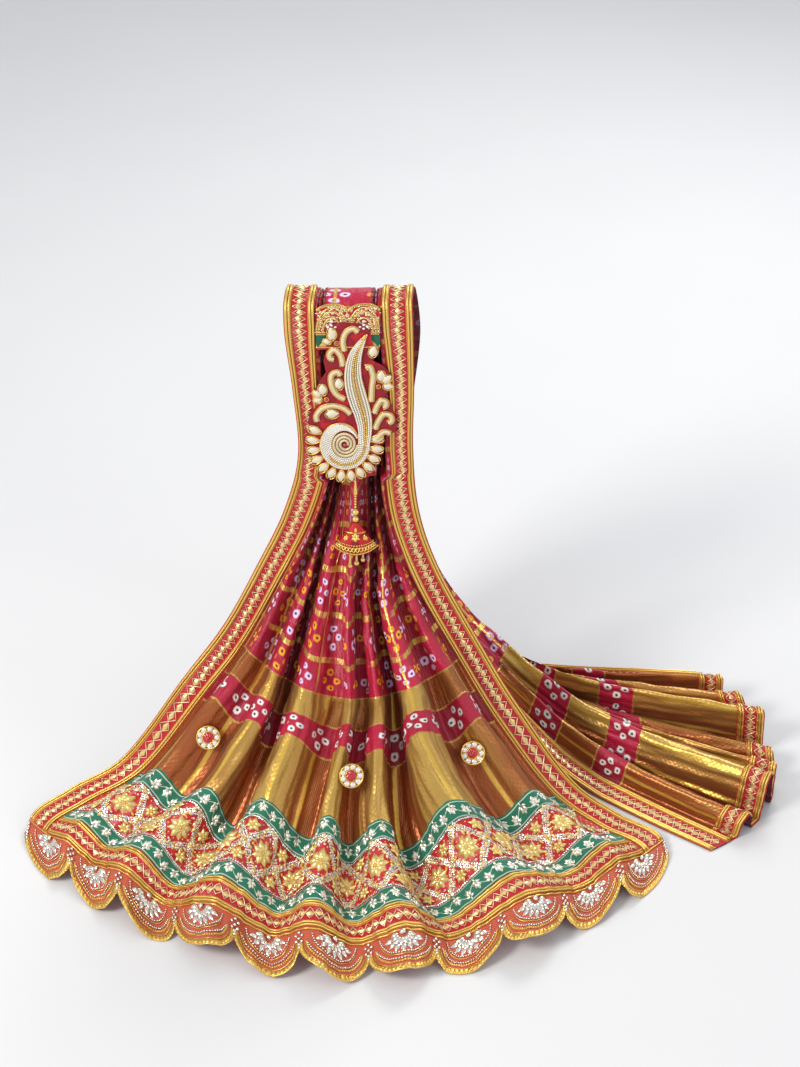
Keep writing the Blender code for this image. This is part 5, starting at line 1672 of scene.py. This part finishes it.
@dataclass
class Tassel:
    """Cap, bead string, pearl, knop and an embroidered bell with drops, in one slanting line."""

    top: Triple = (-0.0645, 0.0640, 0.4723)
    up: Triple = (0.0, 0.334, 0.943)
    out: Triple = (0.0, -0.943, 0.334)
    ball: float = 0.00175
    bell_drop: float = 0.0546

    def axis_points(self, points: np.ndarray, down: float) -> np.ndarray:
        """Move points from their own axis to the tassel's, so far down it."""
        up, out = np.array(self.up), np.array(self.out)
        return (np.array(self.top) + points[:, :1] * np.array((1.0, 0, 0)) - points[:, 1:2] * out
                + (points[:, 2:] - down) * up)

    def build(self) -> list[Piece]:
        """Make every piece of the tassel."""
        ball, quads = bead(1.0, 10, 6)
        ball = ball * self.ball - (0, 0, self.ball)
        piece = sew("tassel_bead_string", GOLD_PEARLS,
                    *((self.axis_points(ball, 0.0183 + self.ball + k * 0.0035), quads) for k in range(5)))
        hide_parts("tassel_beads")
        made = [piece, self.bell(), *self.bell_work()]
        for name in ("cap", "knop", "pearl", "drop_1", "drop_2", "drop_3"):
            cover("tassel_" + name, GOLD_PEARLS)
        return made

    def rim(self, angle: np.ndarray, share: np.ndarray) -> np.ndarray:
        """A point on the bell: a flattened cone whose rim hangs lowest in front, as a fan's does."""
        radius = 0.004 + 0.0232 * share ** 0.85
        x = radius * np.cos(angle)
        y = radius * np.sin(angle) * (0.36 + 0.2 * (1 - share))
        return np.stack([x, y, -0.04 * share * (1 - 0.24 * share * np.cos(angle) ** 2)], -1)

    def bell(self) -> Piece:
        """The bell's cloth, open below."""
        angle, share = np.meshgrid(np.linspace(0, 2 * np.pi, 73), np.linspace(0, 1, 18))
        points = self.rim(angle, share).reshape(-1, 3)
        piece = make_piece("tassel_bell_cloth",
                           (self.axis_points(points, self.bell_drop), grid_faces(18, 73)), BELL,
                           pairs(angle * 0.01, share * 0.038), weld=True)
        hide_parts("tassel_bell")
        return piece

    def bell_work(self) -> list[Piece]:
        """Gold rims, four flowers, two threads that wave across each other and two rows of beads."""
        loops = []
        for share, size in ((0.97, 0.0011), (0.8, 0.0008), (0.3, 0.0008)):
            angle = np.linspace(0, 2 * np.pi, 90)
            centre = self.rim(angle, np.full(90, share))
            turn = np.linspace(0, 2 * np.pi, 7)[None, :, None]
            outward = unit(centre * (1, 1, 0), 1e-9)[:, None]
            tube = centre[:, None] + size * (outward * np.cos(turn) + np.array((0, 0, 1.0)) * np.sin(turn))
            loops.append((self.axis_points(tube.reshape(-1, 3), self.bell_drop), grid_faces(90, 7)))
        made = [sew("tassel_gold_rims", ZARI, *loops)]
        face = BellFace(self)
        parts = []
        for a, b, size in ((0.0, 0.0165, 0.0056), (-0.0125, 0.0185, 0.0042), (0.0125, 0.0185, 0.0042),
                           (0.0, 0.008, 0.003)):
            parts += [scattered(face, petal(1.0, 0.32, 0.25), (a, b), size, k * math.pi / 3 + 0.5, 0.0004)
                      for k in range(6)]
        wave = np.linspace(-0.0225, 0.0225, 90)
        for sign in (1, -1):
            zigzag = 0.0318 + sign * 0.0028 * np.sin(wave * 2 * np.pi / 0.0056)
            parts.append(cord(face, pairs(wave, zigzag), 0.0006, 0.0002, 5))
        made.append(sew("tassel_zari_flowers", ZARI, *parts))
        row = np.linspace(-0.0235, 0.0235, 22)
        spots = np.concatenate([pairs(row, b) for b in (0.0268, 0.0368)])
        made.append(strew("tassel_bell_beads", GOLD_PEARLS, face, (bead(0.8), spots, 0.001, 0.0, 0.0002)))
        return made


@dataclass
class Jewels:
    """Three brooches: a ring of clear stones round a red rose."""

    places: tuple = JEWEL_FRAMES
    stones: int = 9
    radius: float = 0.0116

    def build(self) -> list[Piece]:
        """Make the stones, the settings and the roses of each brooch."""
        made = []
        for number, (middle, right, up, out) in enumerate(self.places, 1):
            plate = Plate(middle, right, up, out)
            angle = 2 * np.pi * np.arange(self.stones) / self.stones
            spots = self.radius * ellipse(0, 0, 1, 1, angle)
            facet = turned([(0.0, 0.62), (0.55, 0.62), (1.0, 0.3), (0.9, 0.0), (0.0, 0.0)], 8)
            stones = strew(f"brooch_{number}_stones", STONES, plate, (facet, spots, 0.004, angle, 0.0008))
            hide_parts(f"jewel_{number}")
            base = turned([(0.0, 0.08), (0.98, 0.08), (1.0, 0.0), (0.0, 0.0)], 36)
            rings = ((base, (0, 0), 0.0153, 0.0, 0.0), (ring(1.0, 0.09, 36), (0, 0), 0.0148, 0.0, 0.0006),
                     (ring(1.0, 0.11, 24), (0, 0), 0.0078, 0.0, 0.0006))
            setting = strew(f"brooch_{number}_setting", ZARI, plate, *rings)
            rows = [(bead(0.8, 12, 6), (0, 0), 0.0024, 0.0, 0.003)]
            for level, (count, size) in enumerate(((7, 0.0084), (5, 0.006))):
                turns = 2 * np.pi * np.arange(count) / count + 0.5 * level
                rows.append((petal(1.0, 0.5, 0.35), np.zeros((count, 2)), size, turns,
                             0.0014 + 0.0012 * level))
            rose = strew(f"brooch_{number}_rose", ROSES, plate, *rows)
            made += [stones, setting, rose]
        return made


# ------------------------------------------------------------------ studio
@dataclass
class Studio:
    """Camera at the photograph's angle, pale floor and soft light."""

    target: Triple = (0.0676, 0.0, 0.36)
    distance: float = 2.6
    elevation: float = 35.0
    lens: float = 67.48
    floor_z: float = -0.0004

    def camera(self) -> None:
        """Place the camera."""
        angle = math.radians(self.elevation)
        data = bpy.data.cameras.new("photo_camera")
        data.lens, data.sensor_width, data.sensor_fit = self.lens, 36.0, "AUTO"
        data.clip_start, data.clip_end = 0.05, 50.0
        made = link("photo_camera", data)
        made.location = (np.array(self.target)
                         + self.distance * np.array((0, -math.cos(angle), math.sin(angle))) - ORIGIN)
        made.rotation_euler = (math.pi / 2 - angle, 0.0, 0.0)
        bpy.context.scene.camera = made

    def floor(self) -> None:
        """A wide pale floor."""
        mesh = bpy.data.meshes.new("floor")
        corners = [(x, y, self.floor_z) for x, y in ((-6, -6), (6, -6), (6, 6), (-6, 6))]
        mesh.from_pydata(corners, [], [(0, 1, 2, 3)])
        material = bpy.data.materials.new("pale floor")
        material.use_nodes = True
        loom = Loom(material.node_tree)
        loom.shade("Roughness", 0.8)
        noise = loom.noise(loom.object_place(), 2.0)
        loom.shade("Base Color", loom.paint(noise, (0.66, 0.66, 0.66, 1), (0.7, 0.7, 0.7, 1)))
        mesh.materials.append(material)
        link("floor", mesh)

    def light(self, name: str, place: tuple, size: float, power: float, colour: tuple = (1, 1, 1)) -> None:
        """A square soft light that looks at the cloth."""
        data = bpy.data.lights.new(name, "AREA")
        data.size, data.energy, data.color = size, power, colour
        made = link(name, data)
        made.location = place
        way = np.array((0.0, 0.0, 0.3)) - np.array(place)
        made.rotation_euler = (math.atan2(math.hypot(way[0], way[1]), -way[2]), 0.0,
                               math.atan2(way[0], -way[1]) + math.pi)

    def build(self) -> None:
        """Make the camera, floor, sky and lights."""
        self.camera()
        self.floor()
        world = bpy.context.scene.world or bpy.data.worlds.new("studio")
        bpy.context.scene.world = world
        world.use_nodes = True
        sky = world.node_tree.nodes["Background"]
        sky.inputs[0].default_value = (0.93, 0.95, 1.0, 1)
        sky.inputs[1].default_value = 0.7
        bpy.context.scene.view_settings.view_transform = "Standard"  # keeps the dyed reds as deep as they are
        self.light("key", (-1.9, -1.5, 2.2), 0.9, 64.0, (1.0, 0.98, 0.94))
        self.light("fill", (2.2, -1.6, 1.5), 1.8, 14.0)
        self.light("rim", (0.9, 2.0, 2.2), 1.2, 38.0)


def main() -> None:
    """Build the cloth and everything on it, in order."""
    logging.basicConfig(level=logging.INFO, format="%(name)s %(message)s")
    Studio().build()
    drape = Drape()
    silk = Cloth(drape)
    cloth = silk.build()
    sewn = Strips(drape).build()
    lace = ScallopedLace(drape).build()
    trims = Lattice(drape).build() + HeadBand(drape).build()
    work = PaisleyPatch().build() + Tassel().build() + Jewels().build()
    sewn + lace + trims + work
    LOG.info("%d pieces", 1 + len(sewn + lace + trims + work))


if __name__ == "__main__":
    main()
